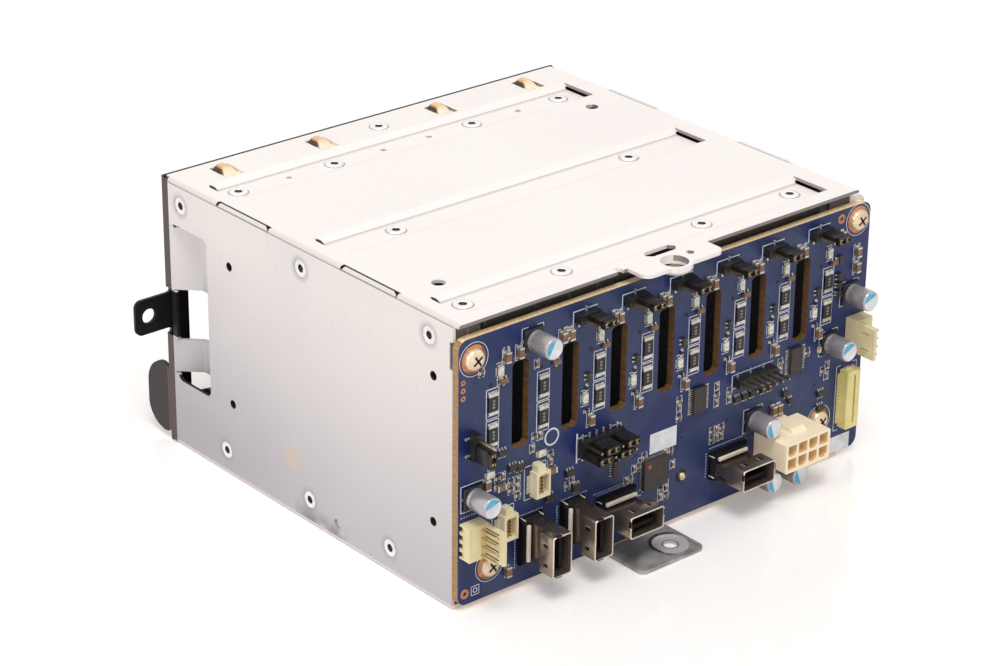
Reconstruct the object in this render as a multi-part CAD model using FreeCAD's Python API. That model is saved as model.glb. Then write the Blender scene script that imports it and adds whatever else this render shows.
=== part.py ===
import FreeCAD, Part
import math
import os

# Hot swap drive cage for eight 2.5 inch drives, millimetres, +Z up.
# Origin: centre of the cage's underside.  -Y is the side where drives enter,
# +Y is the backplane side, +X is the side with the sprung wall tongues.

V = FreeCAD.Vector

# ---- driving dimensions ---------------------------------------------------
HALF_W = 74.4            # outer face of a side plate
HEIGHT = 85.0            # outer face of the top cover
SHEET = 1.0              # zinc plated steel sheet
FACE_Y = -67.4           # outer face of the front frame
COVER_FRONT_Y = FACE_Y + SHEET
SIDE_FRONT_Y = -64.4     # front edge of the side plates
COVER_REAR_Y = 67.0
BOARD_IN_Y = 64.5        # board face that looks into the bays
BOARD_T = 2.4
BOARD_Y = BOARD_IN_Y + BOARD_T
BOARD_X = (-79.8, 74.4)
BOARD_Z = (1.6, 80.3)

BAYS = 8
BAY_PITCH = 17.67
FIRST_WALL_X = 67.4      # guide wall on the +X side of the first bay
FIRST_SOCKET_X = 62.0    # drive connector of the first bay
SOCKET_Z = 45.8
WALL_T = 1.2             # guide walls
WALL_H = 16.0            # from the channel floor to the wall's edge
GUIDE_Y = (COVER_FRONT_Y + 0.3, 54.0)

RIB_DEPTH = 1.57         # pressed channels in top and bottom
RIB_WIDTH = 13.8
RIB_SLOPE = 2.2
RIB_X = (-67.0, 69.2)
RIB_Y = (-45.7, 4.5, 54.6)

FLANGE_H = 12.5          # cover flanges inside the side plates
TOP_SEGMENTS = ((-64.0, -40.1), (-16.0, 17.2), (41.1, 61.2))
NOTCHES = ((-40.1, -16.0), (17.2, 41.1))
TOP_RIVET_Y = (-58.5, -1.2, 54.6)
LOW_RIVET_Y = (-38.8, 1.2, 37.6)
TOP_RIVET_Z = 78.0
LOW_RIVET_Z = 7.4
FLOOR_RIVETS = (
    (-58.7, RIB_Y[0]), (-23.9, RIB_Y[0]), (28.3, RIB_Y[0]), (62.8, RIB_Y[0]),
    (-42.2, RIB_Y[1]), (45.3, RIB_Y[1]),
    (-58.7, RIB_Y[2]), (-23.9, RIB_Y[2]), (28.3, RIB_Y[2]), (62.8, RIB_Y[2]),
)
FRAME_RIVET = (1.8, -58.5)
PILOT_X = (-42.2, -7.2, 10.1, 44.8)
PILOT_R = 1.0
RIVET_HEAD_R = 2.7
RIVET_R = 1.3
HEAD_SIDES = 8          # facets round a rivet's head
FIT = 0.05               # gap round a rivet shank or a peg

SPRING_X = (-57.0, -22.0, 23.3, 57.8)
SPRING_Y = -58.25
SPRING_REACH = 6.2       # from the arch's middle to the end of the foot, the hinge line
WINDOW_SIZE = (6.6, 8.5)

SIDE_HOLE_Y = (-34.9, 56.65)
SIDE_HOLE_Z = (23.7, 67.05)
M3_TAP_R = 1.25
EAR_Z = (37.0, 48.1)
EAR_TIP_X = 86.0
EAR_HOLE = (81.3, 42.6)
EAR_HOLE_R = 2.3
TAB_HOLE = (4.4, 76.0)   # bottom fixing tab
TAB_HOLE_R = 2.05

BOARD_SCREWS = ((69.2, 74.0), (-74.8, 75.5), (63.3, 10.9), (-63.0, 14.7))
PIN_XZ = (-7.5, 14.7)
SLOT_W = 5.8
SLOT_Z = (43.4, 69.0)

JUMPER_X = (30.3, 12.6, -5.1, -22.8, -40.5, -59.0)
JUMPER_Z = 75.5
PIN_PITCH = 2.54
PIN_SIDE = 0.64
PIN_TIP = 8.4            # pin tips above the board
HEADER_H = 2.5
CAP_H = 6.3
CAP_GAP = 0.05           # between a cap and the header below it
CROSS_HEADER = (69.4, 49.0)      # header whose pins run along Z
CONFIG_HEADER = (24.2, 35.8)     # two rows of six pins
SERVICE_HEADER = (-34.7, 37.9)   # one bare row of six pins
CAN_R = 3.1
CANS = ((49.0, 74.0), (69.6, 33.8), (-72.8, 53.2), (-65.2, 39.4), (-35.4, 23.8),
        (-36.9, 6.0), (-47.5, 5.1))
POWER_XZ = (-45.4, 15.3)
PORTS = ((48.9, 14.5, False), (33.8, 14.5, False), (17.8, 13.85, True), (-25.4, 14.0, True))


# ---- small helpers --------------------------------------------------------
def box(x, y, z):
    """Box between the low and the high value on each axis."""
    return Part.makeBox(x[1] - x[0], y[1] - y[0], z[1] - z[0], V(x[0], y[0], z[0]))


def rod(start, radius, length, axis):
    return Part.makeCylinder(radius, length, V(*start), V(*axis))


def extrude(points, direction):
    corners = [V(*point) for point in points]
    outline = Part.makePolygon(corners + corners[:1])
    return Part.Face(outline).extrude(V(*direction))


def join(first, *others):
    return first.multiFuse(list(others)).removeSplitter()


def carve(solid, *tools):
    return solid.cut(list(tools))


def edges_along(solid, axis, chosen=lambda point: True):
    found = []
    for edge in solid.Edges:
        if edge.Curve.TypeId != "Part::GeomLine":
            continue
        direction = edge.tangentAt(edge.FirstParameter)
        if abs(getattr(direction, axis)) > 0.999 and chosen(edge.CenterOfMass):
            found.append(edge)
    return found


def rounded(solid, radius, axis, chosen=lambda point: True):
    return solid.makeFillet(radius, edges_along(solid, axis, chosen))


def soft_box(x, y, z, bevel, axis):
    """Box whose four edges along one axis are bevelled."""
    solid = box(x, y, z)
    return solid.makeChamfer(bevel, edges_along(solid, axis))


def prism(start, radius, length, axis, sides=6):
    """Many-sided rod for small fasteners and for the holes that they fill."""
    normal = V(*axis)
    spoke = V(1, 0, 0) if abs(normal.y) > 0.5 else V(0, 1, 0)
    corners = []
    for k in range(sides):
        turn = FreeCAD.Rotation(normal, 360.0 * k / sides)
        corners.append(V(*start) + turn.multVec(spoke * radius))
    return extrude(corners, normal * length)


def mirrored(solid):
    """The same piece on the -X side."""
    return solid.mirror(V(0, 0, 0), V(1, 0, 0))


def upside_down(solid):
    """The same piece on the underside."""
    return solid.mirror(V(0, 0, HEIGHT / 2), V(0, 0, 1))


def save(name, shape):
    shape.exportStep("parts/" + name + ".step")


def save_group(name, solids):
    save(name, Part.makeCompound(solids))


# ---- sheet metal ----------------------------------------------------------
def frustum(x, y, depth, top):
    """Pressed channel: sloped on three sides, upright at its -X end."""
    low = top - depth
    upper = [V(x[0], y[0], top), V(x[1], y[0], top), V(x[1], y[1], top), V(x[0], y[1], top)]
    inset = RIB_SLOPE * depth / RIB_DEPTH
    lower = [
        V(x[0], y[0] + inset, low),
        V(x[1] - inset, y[0] + inset, low),
        V(x[1] - inset, y[1] - inset, low),
        V(x[0], y[1] - inset, low),
    ]
    wires = [Part.makePolygon(ring + ring[:1]) for ring in (upper, lower)]
    return Part.makeLoft(wires, True, True)


def ribbed_sheet(rear_y, flange_segments, rivet_places):
    """Flat cover with pressed channels and side flanges, in the top position."""
    top = HEIGHT
    under = top - SHEET
    sheet = box((-HALF_W, HALF_W), (COVER_FRONT_Y, rear_y), (under, top))
    sheet = rounded(sheet, 0.9, "y", lambda p: p.z > top - 0.01)
    corners = [
        box((side - 1.0, side + 1.0), (COVER_FRONT_Y - 1, SIDE_FRONT_Y), (under - 1, top + 1))
        for side in (-HALF_W, HALF_W)
    ]
    sheet = carve(sheet, *corners)
    flanges = []
    for y0, y1 in flange_segments:
        for side in (1, -1):
            inner = HALF_W - 2 * SHEET
            outer = HALF_W - SHEET
            span = (inner, outer) if side > 0 else (-outer, -inner)
            flanges.append(box(span, (y0, y1), (top - FLANGE_H, top - SHEET / 2)))
    pressings = []
    presses = []
    slits = []
    for y in RIB_Y:
        span = (y - RIB_WIDTH / 2, y + RIB_WIDTH / 2)
        presses.append(frustum(RIB_X, span, RIB_DEPTH, top))
        lowered = frustum(RIB_X, span, RIB_DEPTH, top).translated(V(0, 0, -SHEET))
        pressings.append(lowered)
        slits.append(box((RIB_X[0], RIB_X[0] + 0.8), span, (under - RIB_DEPTH - 1, under)))
    sheet = join(sheet, *flanges, *pressings)
    sheet = carve(sheet, *presses)
    sheet = carve(sheet, *slits)
    holes = []
    for x, y in rivet_places:
        holes.append(prism((x, y, under - 3), RIVET_R + FIT, 6, (0, 0, 1)))
    for x in PILOT_X:
        holes.append(prism((x, RIB_Y[0], under - 3), PILOT_R, 6, (0, 0, 1)))
    return carve(sheet, *holes)


def side_rivet_holes(ys, z):
    through = []
    for y in ys:
        for side in (1, -1):
            start = (side * (HALF_W - 3), y, z)
            through.append(prism(start, RIVET_R + FIT, 4, (side, 0, 0)))
    return through


def top_cover():
    under = HEIGHT - SHEET
    cover = ribbed_sheet(COVER_REAR_Y, TOP_SEGMENTS, FLOOR_RIVETS + (FRAME_RIVET,))
    tab = box((-14.0, 15.5), (COVER_REAR_Y - 1, 74.5), (under, HEIGHT))
    tab = rounded(tab, 3.0, "z", lambda p: p.y > COVER_REAR_Y)
    rim_at = (2.2, 71.2)
    rim = prism((rim_at[0], rim_at[1], under - 1.5), 5.2, SHEET + 1.5, (0, 0, 1), 20)
    rim = rim.makeChamfer(1.0, [e for e in rim.Edges if e.CenterOfMass.z < under - 1])
    cover = join(cover, tab, rim)
    tools = [rod((rim_at[0], rim_at[1], under - 3), 4.0, 6, (0, 0, 1))]
    tools.append(soft_box((-5.0, 6.0), (61.9, 65.4), (under - 3, HEIGHT + 1), 1.4, "z"))
    tools.append(soft_box((-6.4, -4.0), (68.2, 70.6), (under - 3, HEIGHT + 1), 0.8, "z"))
    tools.append(soft_box((17.0, 19.0), (COVER_REAR_Y - 2.2, COVER_REAR_Y + 1),
                          (under - 1, HEIGHT + 1), 0.9, "z"))
    for x in SPRING_X:
        half_x = WINDOW_SIZE[0] / 2
        half_y = WINDOW_SIZE[1] / 2
        tools.append(box((x - half_x, x + half_x), (SPRING_Y - half_y, SPRING_Y + half_y),
                         (under - 1, HEIGHT + 1)))
    for x, y in ((60.9, 42.2), (-59.5, -31.0)):
        tools.append(prism((x, y, under - 1), 2.0, 3, (0, 0, 1), 16))
    for y0, y1 in NOTCHES:
        for side in (1, -1):
            edge = side * (HALF_W - SHEET - 0.2)
            outer = side * (HALF_W + 1)
            span = (min(edge, outer), max(edge, outer))
            tools.append(box(span, (y0, y1), (under - 1, HEIGHT + 1)))
    tools.extend(side_rivet_holes(TOP_RIVET_Y, TOP_RIVET_Z))
    return carve(cover, *tools)


def bottom_plate():
    sheet = upside_down(ribbed_sheet(BOARD_IN_Y, ((-60.0, 60.0),), FLOOR_RIVETS))
    tab_x = (-2.0, 21.8)
    tab_y = 83.4
    tab = box(tab_x, (BOARD_IN_Y - 1, tab_y), (0, SHEET))
    tab = rounded(tab, 2.0, "z", lambda p: p.y > BOARD_Y)
    pieces = [tab]
    tools = []
    screw_tabs = ((BOARD_SCREWS[2], 16.0), (BOARD_SCREWS[3], 20.0), (PIN_XZ, 20.0))
    for (x, z), tall in screw_tabs:
        upright = box((x - 5, x + 5), (BOARD_IN_Y - SHEET, BOARD_IN_Y), (0, tall))
        upright = upright.makeChamfer(2.0, edges_along(upright, "y", lambda p, tall=tall: p.z > tall - 0.1))
        pieces.append(upright)
        tools.append(prism((x, BOARD_IN_Y - 3, z), M3_TAP_R, 4, (0, 1, 0), 12))
    sheet = join(sheet, *pieces)
    x, y = TAB_HOLE
    boss = rod((x, y, SHEET - 0.4), 5.2, 1, (0, 0, 1))
    boss = join(boss, box((x - 5.2, x + 5.2), (y, tab_y + 1), (SHEET - 0.4, SHEET + 0.6)))
    tools.append(boss)
    tools.append(rod((x, y, -1), TAB_HOLE_R, 4, (0, 0, 1)))
    tools.extend(side_rivet_holes(LOW_RIVET_Y, LOW_RIVET_Z))
    return carve(sheet, *tools)


def side_plate(rear_y):
    """Side plate with its edge tabs, rivet seats and tapped holes, +X position."""
    inner = HALF_W - SHEET
    plate = box((inner, HALF_W), (SIDE_FRONT_Y, rear_y), (SHEET, HEIGHT - SHEET))
    tabs = []
    for y0, y1 in NOTCHES:
        tab = box((inner, HALF_W), (y0 + 0.6, y1 - 0.6), (HEIGHT - 3, HEIGHT + 0.2))
        tabs.append(tab.makeChamfer(0.9, edges_along(tab, "x", lambda p: p.z > HEIGHT)))
    collars = []
    tools = []
    for y in SIDE_HOLE_Y:
        for z in SIDE_HOLE_Z:
            collars.append(prism((inner - 1.2, y, z), M3_TAP_R + 0.9, 1.3, (1, 0, 0), 8))
            tools.append(rod((inner - 2, y, z), M3_TAP_R, 4, (1, 0, 0)))
    plate = join(plate, *tabs, *collars)
    tools.append(prism((inner - 1, 14.1, 5.1), 1.6, 3, (1, 0, 0), 12))
    seats = [(y, TOP_RIVET_Z) for y in TOP_RIVET_Y] + [(y, LOW_RIVET_Z) for y in LOW_RIVET_Y]
    for y, z in seats:
        tools.append(prism((inner - 1, y, z), RIVET_R + FIT, 3, (1, 0, 0)))
        tools.append(prism((HALF_W - 0.5, y, z), RIVET_HEAD_R + FIT, 1, (1, 0, 0), HEAD_SIDES))
    return carve(plate, *tools)


def tongue(z):
    """Wall tongue bent in from the plate's front border, then parallel to it."""
    start_y = -63.95
    depth = 6.3
    bend_y = start_y + depth
    end_y = -52.6
    back = SHEET * math.tan(math.radians(22.5))
    low = z[0]
    profile = [
        (HALF_W, start_y, low),
        (HALF_W - depth, bend_y, low),
        (HALF_W - depth, end_y, low),
        (HALF_W - depth - SHEET, end_y, low),
        (HALF_W - depth - SHEET, bend_y - back, low),
        (HALF_W - SHEET, start_y - back, low),
    ]
    bent = extrude(profile, (0, 0, z[1] - z[0]))
    bent = rounded(bent, 1.0, "z", lambda p: abs(p.y - bend_y) < 0.1)
    return rounded(bent, 2.5, "x", lambda p: p.y > end_y - 0.1)


def side_bracket_right():
    inner = HALF_W - SHEET
    plate = side_plate(BOARD_IN_Y)
    window = rounded(box((inner - 1, HALF_W + 1), (-62.2, -46.0), (21.6, 71.3)), 2.0, "x")
    plate = carve(plate, window)
    tongues = []
    gaps = []
    for z in ((50.0, 70.3), (23.6, 34.0)):
        tongues.append(tongue(z))
        gaps.append(box((inner - 1, HALF_W + 1), (-64.0, -62.0), (z[0] - 0.3, z[1] + 0.3)))
    plate = carve(plate, *gaps)
    notch = box((inner - 1, HALF_W + 1), (BOARD_IN_Y - SHEET - 0.2, BOARD_IN_Y + 1), (71.3, 79.3))
    plate = carve(plate, notch)
    return join(plate, *tongues)


def side_bracket_left():
    """The last bay lies against this plate, so it has no tongues."""
    plate = mirrored(side_plate(BOARD_IN_Y))
    outer_x = BOARD_X[0] + 0.2
    flange = box((outer_x, -HALF_W + SHEET), (BOARD_IN_Y - SHEET, BOARD_IN_Y), (2.0, 82.0))
    flange = rounded(flange, 3.0, "y", lambda p: p.x < outer_x + 0.1)
    bracket = join(plate, flange)
    bracket = rounded(bracket, 0.9, "z", lambda p: abs(p.x + HALF_W - SHEET) < 0.01
                      and abs(p.y - BOARD_IN_Y) < 0.01)
    x, z = BOARD_SCREWS[1]
    return carve(bracket, prism((x, BOARD_IN_Y - 3, z), M3_TAP_R, 4, (0, 1, 0)))


def lobe():
    """Rounded pull lobe that stands forward of the front frame."""
    x = HALF_W - SHEET
    root_y = FACE_Y + 0.5
    top = V(x, root_y, 23.0)
    crown = V(x, -74.0, 23.2)
    nose_top = V(x, -78.7, 15.4)
    nose_low = V(x, -78.7, 8.4)
    chin = V(x, -72.3, 2.0)
    base = V(x, root_y, 3.6)
    edges = [
        Part.Arc(top, V(x, -70.6, 24.4), crown).toShape(),
        Part.Arc(crown, V(x, -77.4, 20.0), nose_top).toShape(),
        Part.LineSegment(nose_top, nose_low).toShape(),
        Part.Arc(nose_low, V(x, -76.4, 4.1), chin).toShape(),
        Part.Arc(chin, V(x, -69.6, 1.8), base).toShape(),
        Part.LineSegment(base, top).toShape(),
    ]
    return Part.Face(Part.Wire(edges)).extrude(V(SHEET, 0, 0))


def front_frame():
    face = box((-HALF_W, HALF_W), (FACE_Y, COVER_FRONT_Y), (0, HEIGHT))
    opening = soft_box((-HALF_W + SHEET, FIRST_WALL_X - 0.2), (FACE_Y - 1, 0), (3.0, 82.0), 1.0, "y")
    pieces = []
    tools = []
    for side in (1, -1):
        span = sorted((side * (HALF_W - SHEET), side * HALF_W))
        band = box(span, (COVER_FRONT_Y - 0.2, SIDE_FRONT_Y), (0.4, HEIGHT - 0.4))
        pieces.append(band)
        span = sorted((side * (HALF_W - 4), side * EAR_TIP_X))
        ear = box(span, (FACE_Y, COVER_FRONT_Y), EAR_Z)
        ear = rounded(ear, 2.3, "y", lambda p: abs(p.x) > EAR_TIP_X - 0.1)
        ear = carve(ear, rod((side * EAR_HOLE[0], FACE_Y - 1, EAR_HOLE[1]), EAR_HOLE_R, 3, (0, 1, 0)))
        pieces.append(ear)
        span = sorted((side * (HALF_W - SHEET), side * (HALF_W + 1)))
        tools.append(box(span, (COVER_FRONT_Y, SIDE_FRONT_Y + 1), (EAR_Z[0] - 2.1, EAR_Z[1] + 1.8)))
        for z in (EAR_Z[0] - 0.95, EAR_Z[1] + 0.95):
            tools.append(prism((side * HALF_W, FACE_Y - 1, z), 0.95, 2.1, (0, 1, 0)))
    x, y = FRAME_RIVET
    for z in ((HEIGHT - 2 * SHEET, HEIGHT - SHEET), (SHEET, 2 * SHEET)):
        tab = box((x - 7, x + 7), (COVER_FRONT_Y - 0.2, y + 4), z)
        pieces.append(tab.makeChamfer(2.5, edges_along(tab, "z", lambda p: p.y > y)))
    tools.append(prism((x, y, HEIGHT - 3), RIVET_R + FIT, 3, (0, 0, 1)))
    face = carve(face, opening)
    frame = carve(join(face, *pieces), *tools)
    return join(frame, lobe())


def guide_base():
    """Base strip of the guides, one window row per bay, in the lower position."""
    seat = SHEET + RIB_DEPTH
    left = -HALF_W + 2 * SHEET + 0.2
    base = box((left, FIRST_WALL_X + WALL_T / 2), GUIDE_Y, (seat, seat + SHEET))
    tools = []
    for bay in range(BAYS):
        middle = FIRST_WALL_X - (bay + 0.5) * BAY_PITCH
        for y in ((-36.0, -4.0), (13.0, 45.0)):
            tools.append(box((middle - 5, middle + 5), y, (seat - 1, seat + 2)))
    for x, y in FLOOR_RIVETS:
        tools.append(prism((x, y, seat - 1), RIVET_R + FIT, 3, (0, 0, 1)))
    return carve(base, *tools)


def guide_blade(x, relieved=False):
    """Upright blade between two bays, with a lead-in at the front, standing on the base."""
    foot = SHEET + RIB_DEPTH + SHEET
    top = foot + WALL_H - SHEET
    front, rear = GUIDE_Y
    lead = 9.0
    outline = [
        (x - WALL_T / 2, front, foot),
        (x - WALL_T / 2, front, top - lead / 2),
        (x - WALL_T / 2, front + lead, top),
        (x - WALL_T / 2, rear - 2, top),
        (x - WALL_T / 2, rear, top - 2),
        (x - WALL_T / 2, rear, foot),
    ]
    blade = extrude(outline, (WALL_T, 0, 0))
    if relieved:
        blade = carve(blade, box((x - 1, x + 1), (front - 1, -51.0), (13.6, top + 1)))
    return blade


def guide_blades(first_relieved):
    """One blade per bay; the first clears the side plate's upper tongue if relieved."""
    places = [FIRST_WALL_X - bay * BAY_PITCH for bay in range(BAYS)]
    return [guide_blade(x, first_relieved and x == FIRST_WALL_X) for x in places]


def rear_cross_strip():
    """Angle strip under the cover whose end tabs carry the board's top corners."""
    top = HEIGHT - SHEET
    back = BOARD_IN_Y
    reach = HALF_W - SHEET - 0.2
    strip = box((-reach, reach), (back - 2.8, back), (top - SHEET, top))
    web = box((-63.0, 63.0), (back - 2.8, back - 1.8), (72.0, top))
    tabs = []
    for side in (1, -1):
        span = sorted((side * 65.0, side * reach))
        tab = box(span, (back - SHEET, back), (69.0, top))
        tabs.append(tab.makeChamfer(2.0, edges_along(tab, "y", lambda p: p.z < 70)))
    hook = box((reach - 1, HALF_W - 0.3), (back - SHEET, back), (71.6, 79.0))
    strip = join(strip, web, *tabs, hook)
    x, z = BOARD_SCREWS[0]
    slot = soft_box((-7.0, 8.0), (60, 66), (top - 2, top + 1), 1.0, "z")
    left_x, left_z = BOARD_SCREWS[1]
    clear = prism((left_x, back - 3, left_z), 2.0, 4, (0, 1, 0))
    return carve(strip, prism((x, back - 3, z), M3_TAP_R, 4, (0, 1, 0)), slot, clear)


# ---- rivets, screws -------------------------------------------------------
def rivet(grip, head_h):
    """Rivet along +Z, the head's underside at z = 0, grip below it."""
    head = prism((0, 0, 0), RIVET_HEAD_R, head_h, (0, 0, 1), HEAD_SIDES)
    return join(head, prism((0, 0, -grip), RIVET_R, grip, (0, 0, 1)))


def floor_rivets():
    floor = HEIGHT - RIB_DEPTH
    return [rivet(2 * SHEET, 0.5).translated(V(x, y, floor)) for x, y in FLOOR_RIVETS]


def frame_rivet():
    """Holds the front frame's upper tab; the lower tab is spot welded."""
    x, y = FRAME_RIVET
    return rivet(2 * SHEET, 0.4).translated(V(x, y, HEIGHT))


def side_rivets():
    rivets = []
    places = [(y, TOP_RIVET_Z) for y in TOP_RIVET_Y] + [(y, LOW_RIVET_Z) for y in LOW_RIVET_Y]
    for y, z in places:
        piece = rivet(2 * SHEET - 0.5, 0.5)
        piece = piece.rotated(V(0, 0, 0), V(0, 1, 0), 90)
        rivets.append(piece.translated(V(HALF_W - 0.5, y, z)))
    return rivets


def board_screws():
    """Pan head screws with a cross recess, through the board into the tabs."""
    screws = []
    for x, z in BOARD_SCREWS:
        head = prism((x, BOARD_Y, z), 3.2, 1.9, (0, 1, 0), 12)
        head = head.makeChamfer(0.9, [e for e in head.Edges if e.CenterOfMass.y > BOARD_Y + 1.8])
        shank = prism((x, BOARD_IN_Y - 3.0, z), M3_TAP_R - FIT, BOARD_T + 3.0, (0, 1, 0))
        arms = []
        for angle in (35, 125):
            arm = box((-1.9, 1.9), (BOARD_Y + 0.8, BOARD_Y + 3), (-0.4, 0.4))
            arms.append(arm.rotated(V(0, 0, 0), V(0, 1, 0), angle).translated(V(x, 0, z)))
        screws.append(carve(join(head, shank), *arms))
    return screws


def locating_pin():
    x, z = PIN_XZ
    start = BOARD_IN_Y - 2.5
    pin = prism((x, start, z), M3_TAP_R - FIT, BOARD_Y + 1.2 - start, (0, 1, 0), 12)
    return pin.makeChamfer(0.4, [e for e in pin.Edges if e.CenterOfMass.y > BOARD_Y + 1.1])


# ---- moving grounding springs ---------------------------------------------
def grounding_spring(x):
    """Contact finger: a foot under the cover, then an arch up through the window."""
    thick = 0.25
    half_y = 3.3
    arch_r = 3.1
    arch_z = HEIGHT + 1.35 - arch_r
    foot_top = HEIGHT - SHEET - 0.02
    tip_angle = math.radians(24)

    def on_arch(radius, angle):
        return V(x + radius * math.cos(angle), 0, arch_z + radius * math.sin(angle))

    def arch(radius, start_z):
        start = math.pi - math.asin((start_z - arch_z) / radius)
        middle = (start + tip_angle) / 2
        ends = (on_arch(radius, start), on_arch(radius, middle), on_arch(radius, tip_angle))
        return ends, Part.Arc(*ends).toShape()

    outer, outer_arc = arch(arch_r, foot_top)
    inner, inner_arc = arch(arch_r - thick, foot_top - thick)
    foot_x = x - SPRING_REACH
    edges = [
        Part.LineSegment(V(foot_x, 0, foot_top), outer[0]).toShape(),
        outer_arc,
        Part.LineSegment(outer[2], inner[2]).toShape(),
        inner_arc,
        Part.LineSegment(inner[0], V(foot_x, 0, foot_top - thick)).toShape(),
        Part.LineSegment(V(foot_x, 0, foot_top - thick), V(foot_x, 0, foot_top)).toShape(),
    ]
    wire = Part.Wire(Part.__sortEdges__(edges))
    finger = Part.Face(wire).extrude(V(0, 2 * half_y, 0))
    return finger.translated(V(0, SPRING_Y - half_y, 0))


# ---- backplane ------------------------------------------------------------
def backplane_board():
    board = box(BOARD_X, (BOARD_IN_Y, BOARD_Y), BOARD_Z)
    board = rounded(board, 3.0, "y")
    tools = []
    for k in range(-3, 4):
        x = k * BAY_PITCH
        slot = (x - SLOT_W / 2, x + SLOT_W / 2)
        tools.append(soft_box(slot, (BOARD_IN_Y - 1, BOARD_Y + 1), SLOT_Z, 1.0, "y"))
    for x, z in BOARD_SCREWS + (PIN_XZ,):
        tools.append(prism((x, BOARD_IN_Y - 1, z), M3_TAP_R + 0.1, 4, (0, 1, 0), 12))
    return carve(board, *tools)


def drive_connector(x):
    """Receptacle for one drive: signal and power slots side by side in one body."""
    y = (BOARD_IN_Y - 8.8, BOARD_IN_Y)
    body = box((x - 2.8, x + 2.8), y, (SOCKET_Z - 21, SOCKET_Z + 21))
    mouth = (y[0] - 1, y[0] + 5.5)
    signal = box((x - 0.9, x + 0.7), mouth, (SOCKET_Z + 6.4, SOCKET_Z + 16.2))
    power = box((x - 0.9, x + 0.7), mouth, (SOCKET_Z - 16.2, SOCKET_Z + 4.4))
    key = box((x + 0.7, x + 1.9), mouth, (SOCKET_Z - 16.2, SOCKET_Z - 14.8))
    ends = []
    for z in (SOCKET_Z - 21, SOCKET_Z + 17.6):
        ends.append(box((x - 1.4, x + 1.4), (y[0] - 1, y[0] + 4), (z, z + 3.4)))
    return carve(body, signal, power, key, *ends)


def data_port_core(x, z, turned):
    """Moulded foot of a data port with its contact blade, mouth towards +Y."""
    foot = box((-4.0, 4.4), (0, 2.3), (-7.1, 7.1))
    foot = foot.makeChamfer(1.2, edges_along(foot, "x", lambda p: p.y > 2))
    plug = box((-2.9, 1.0), (2.3, 5.0), (-5.6, 5.6))
    blade = box((-1.6, -0.4), (5.0, 11.5), (-4.2, 4.2))
    return place(join(foot, plug, blade), x, z, -90 if turned else 0)


def data_port_shell(x, z, turned):
    """Steel shell: slim behind, wider keyed mouth in front, and a latch bar."""
    wall = 0.45
    half_l = 6.3
    back_x = (-3.4, 1.5)
    front_x = (-3.4, 3.4)
    step_y = 7.5
    tall = 13.6
    length = (-half_l, half_l)
    hollow = (-half_l + wall, half_l - wall)
    rear = soft_box(back_x, (2.3, tall - 1), length, 0.6, "y")
    front = soft_box(front_x, (step_y, tall), length, 0.6, "y")
    rear_hollow = box((back_x[0] + wall, back_x[1] - wall), (0, tall + 1), hollow)
    front_hollow = box((front_x[0] + wall, front_x[1] - wall), (step_y + wall, tall + 1), hollow)
    shell = carve(join(rear, front), rear_hollow, front_hollow)
    bar = box((back_x[1] - 0.1, 3.3), (2.3, 2.9), (-5.6, 5.6))
    tools = []
    for side in (1, -1):
        at = side * 3.0
        tools.append(box((0, 5), (9.6, 11.2), (at - 0.9, at + 0.9)))
        tools.append(box((-5, -2), (9.6, 11.2), (at - 0.9, at + 0.9)))
    tools.append(box((0.2, 2.4), (tall - 1.0, tall + 1), (-8, 8)))
    return place(carve(join(shell, bar), *tools), x, z, -90 if turned else 0)


def power_connector():
    """Eight way power socket, two rows of four cells with a latch rail."""
    x, z = POWER_XZ
    pitch = 4.2
    half_l = 2 * pitch + 0.55
    half_w = pitch + 0.5
    y = (BOARD_Y, BOARD_Y + 13.1)
    body = soft_box((x - half_l, x + half_l), y, (z - half_w, z + half_w), 0.4, "y")
    latch = box((x - 2.6, x + 2.6), (BOARD_Y, BOARD_Y + 9.5), (z + half_w - 0.1, z + half_w + 1.4))
    latch = latch.makeChamfer(1.2, edges_along(latch, "x", lambda p: p.y > y[0] + 9 and p.z > z + 5))
    body = join(body, latch)
    cells = []
    keyed = ((0, 0), (2, 0), (1, 1), (3, 1), (1, 0))
    for column in range(4):
        for row in range(2):
            cx = x + (column - 1.5) * pitch
            cz = z + (row - 0.5) * pitch
            cell = box((cx - 1.75, cx + 1.75), (BOARD_Y + 2.5, y[1] + 1), (cz - 1.75, cz + 1.75))
            if (column, row) in keyed:
                cell = cell.makeChamfer(0.9, edges_along(cell, "y", lambda p, cz=cz: p.z < cz))
            cells.append(cell)
    return carve(body, *cells)


def fan_header():
    """Four way header on y = 0: notched base, four pins, tall friction wall at its -X side."""
    base_h = 4.2
    tall = 11.5
    half_z = 5.1
    deep = 6.8
    body = box((0, deep), (0, base_h), (-half_z, half_z))
    wall = box((0, 1.1), (0, tall), (-half_z + 0.2, half_z - 0.2))
    pins = []
    tools = []
    half = PIN_SIDE / 2
    for way in range(4):
        at = (way - 1.5) * PIN_PITCH
        tools.append(box((deep - 0.9, deep + 1), (-1, 1.6), (at - 0.8, at + 0.8)))
        pins.append(box((2.6 - half, 2.6 + half), (1, 10.4), (at - half, at + half)))
    for at in (-PIN_PITCH, PIN_PITCH):
        tools.append(box((-1, 2), (6.0, 9.4), (at - 0.35, at + 0.35)))
    return join(carve(join(body, wall), *tools), *pins)


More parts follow.
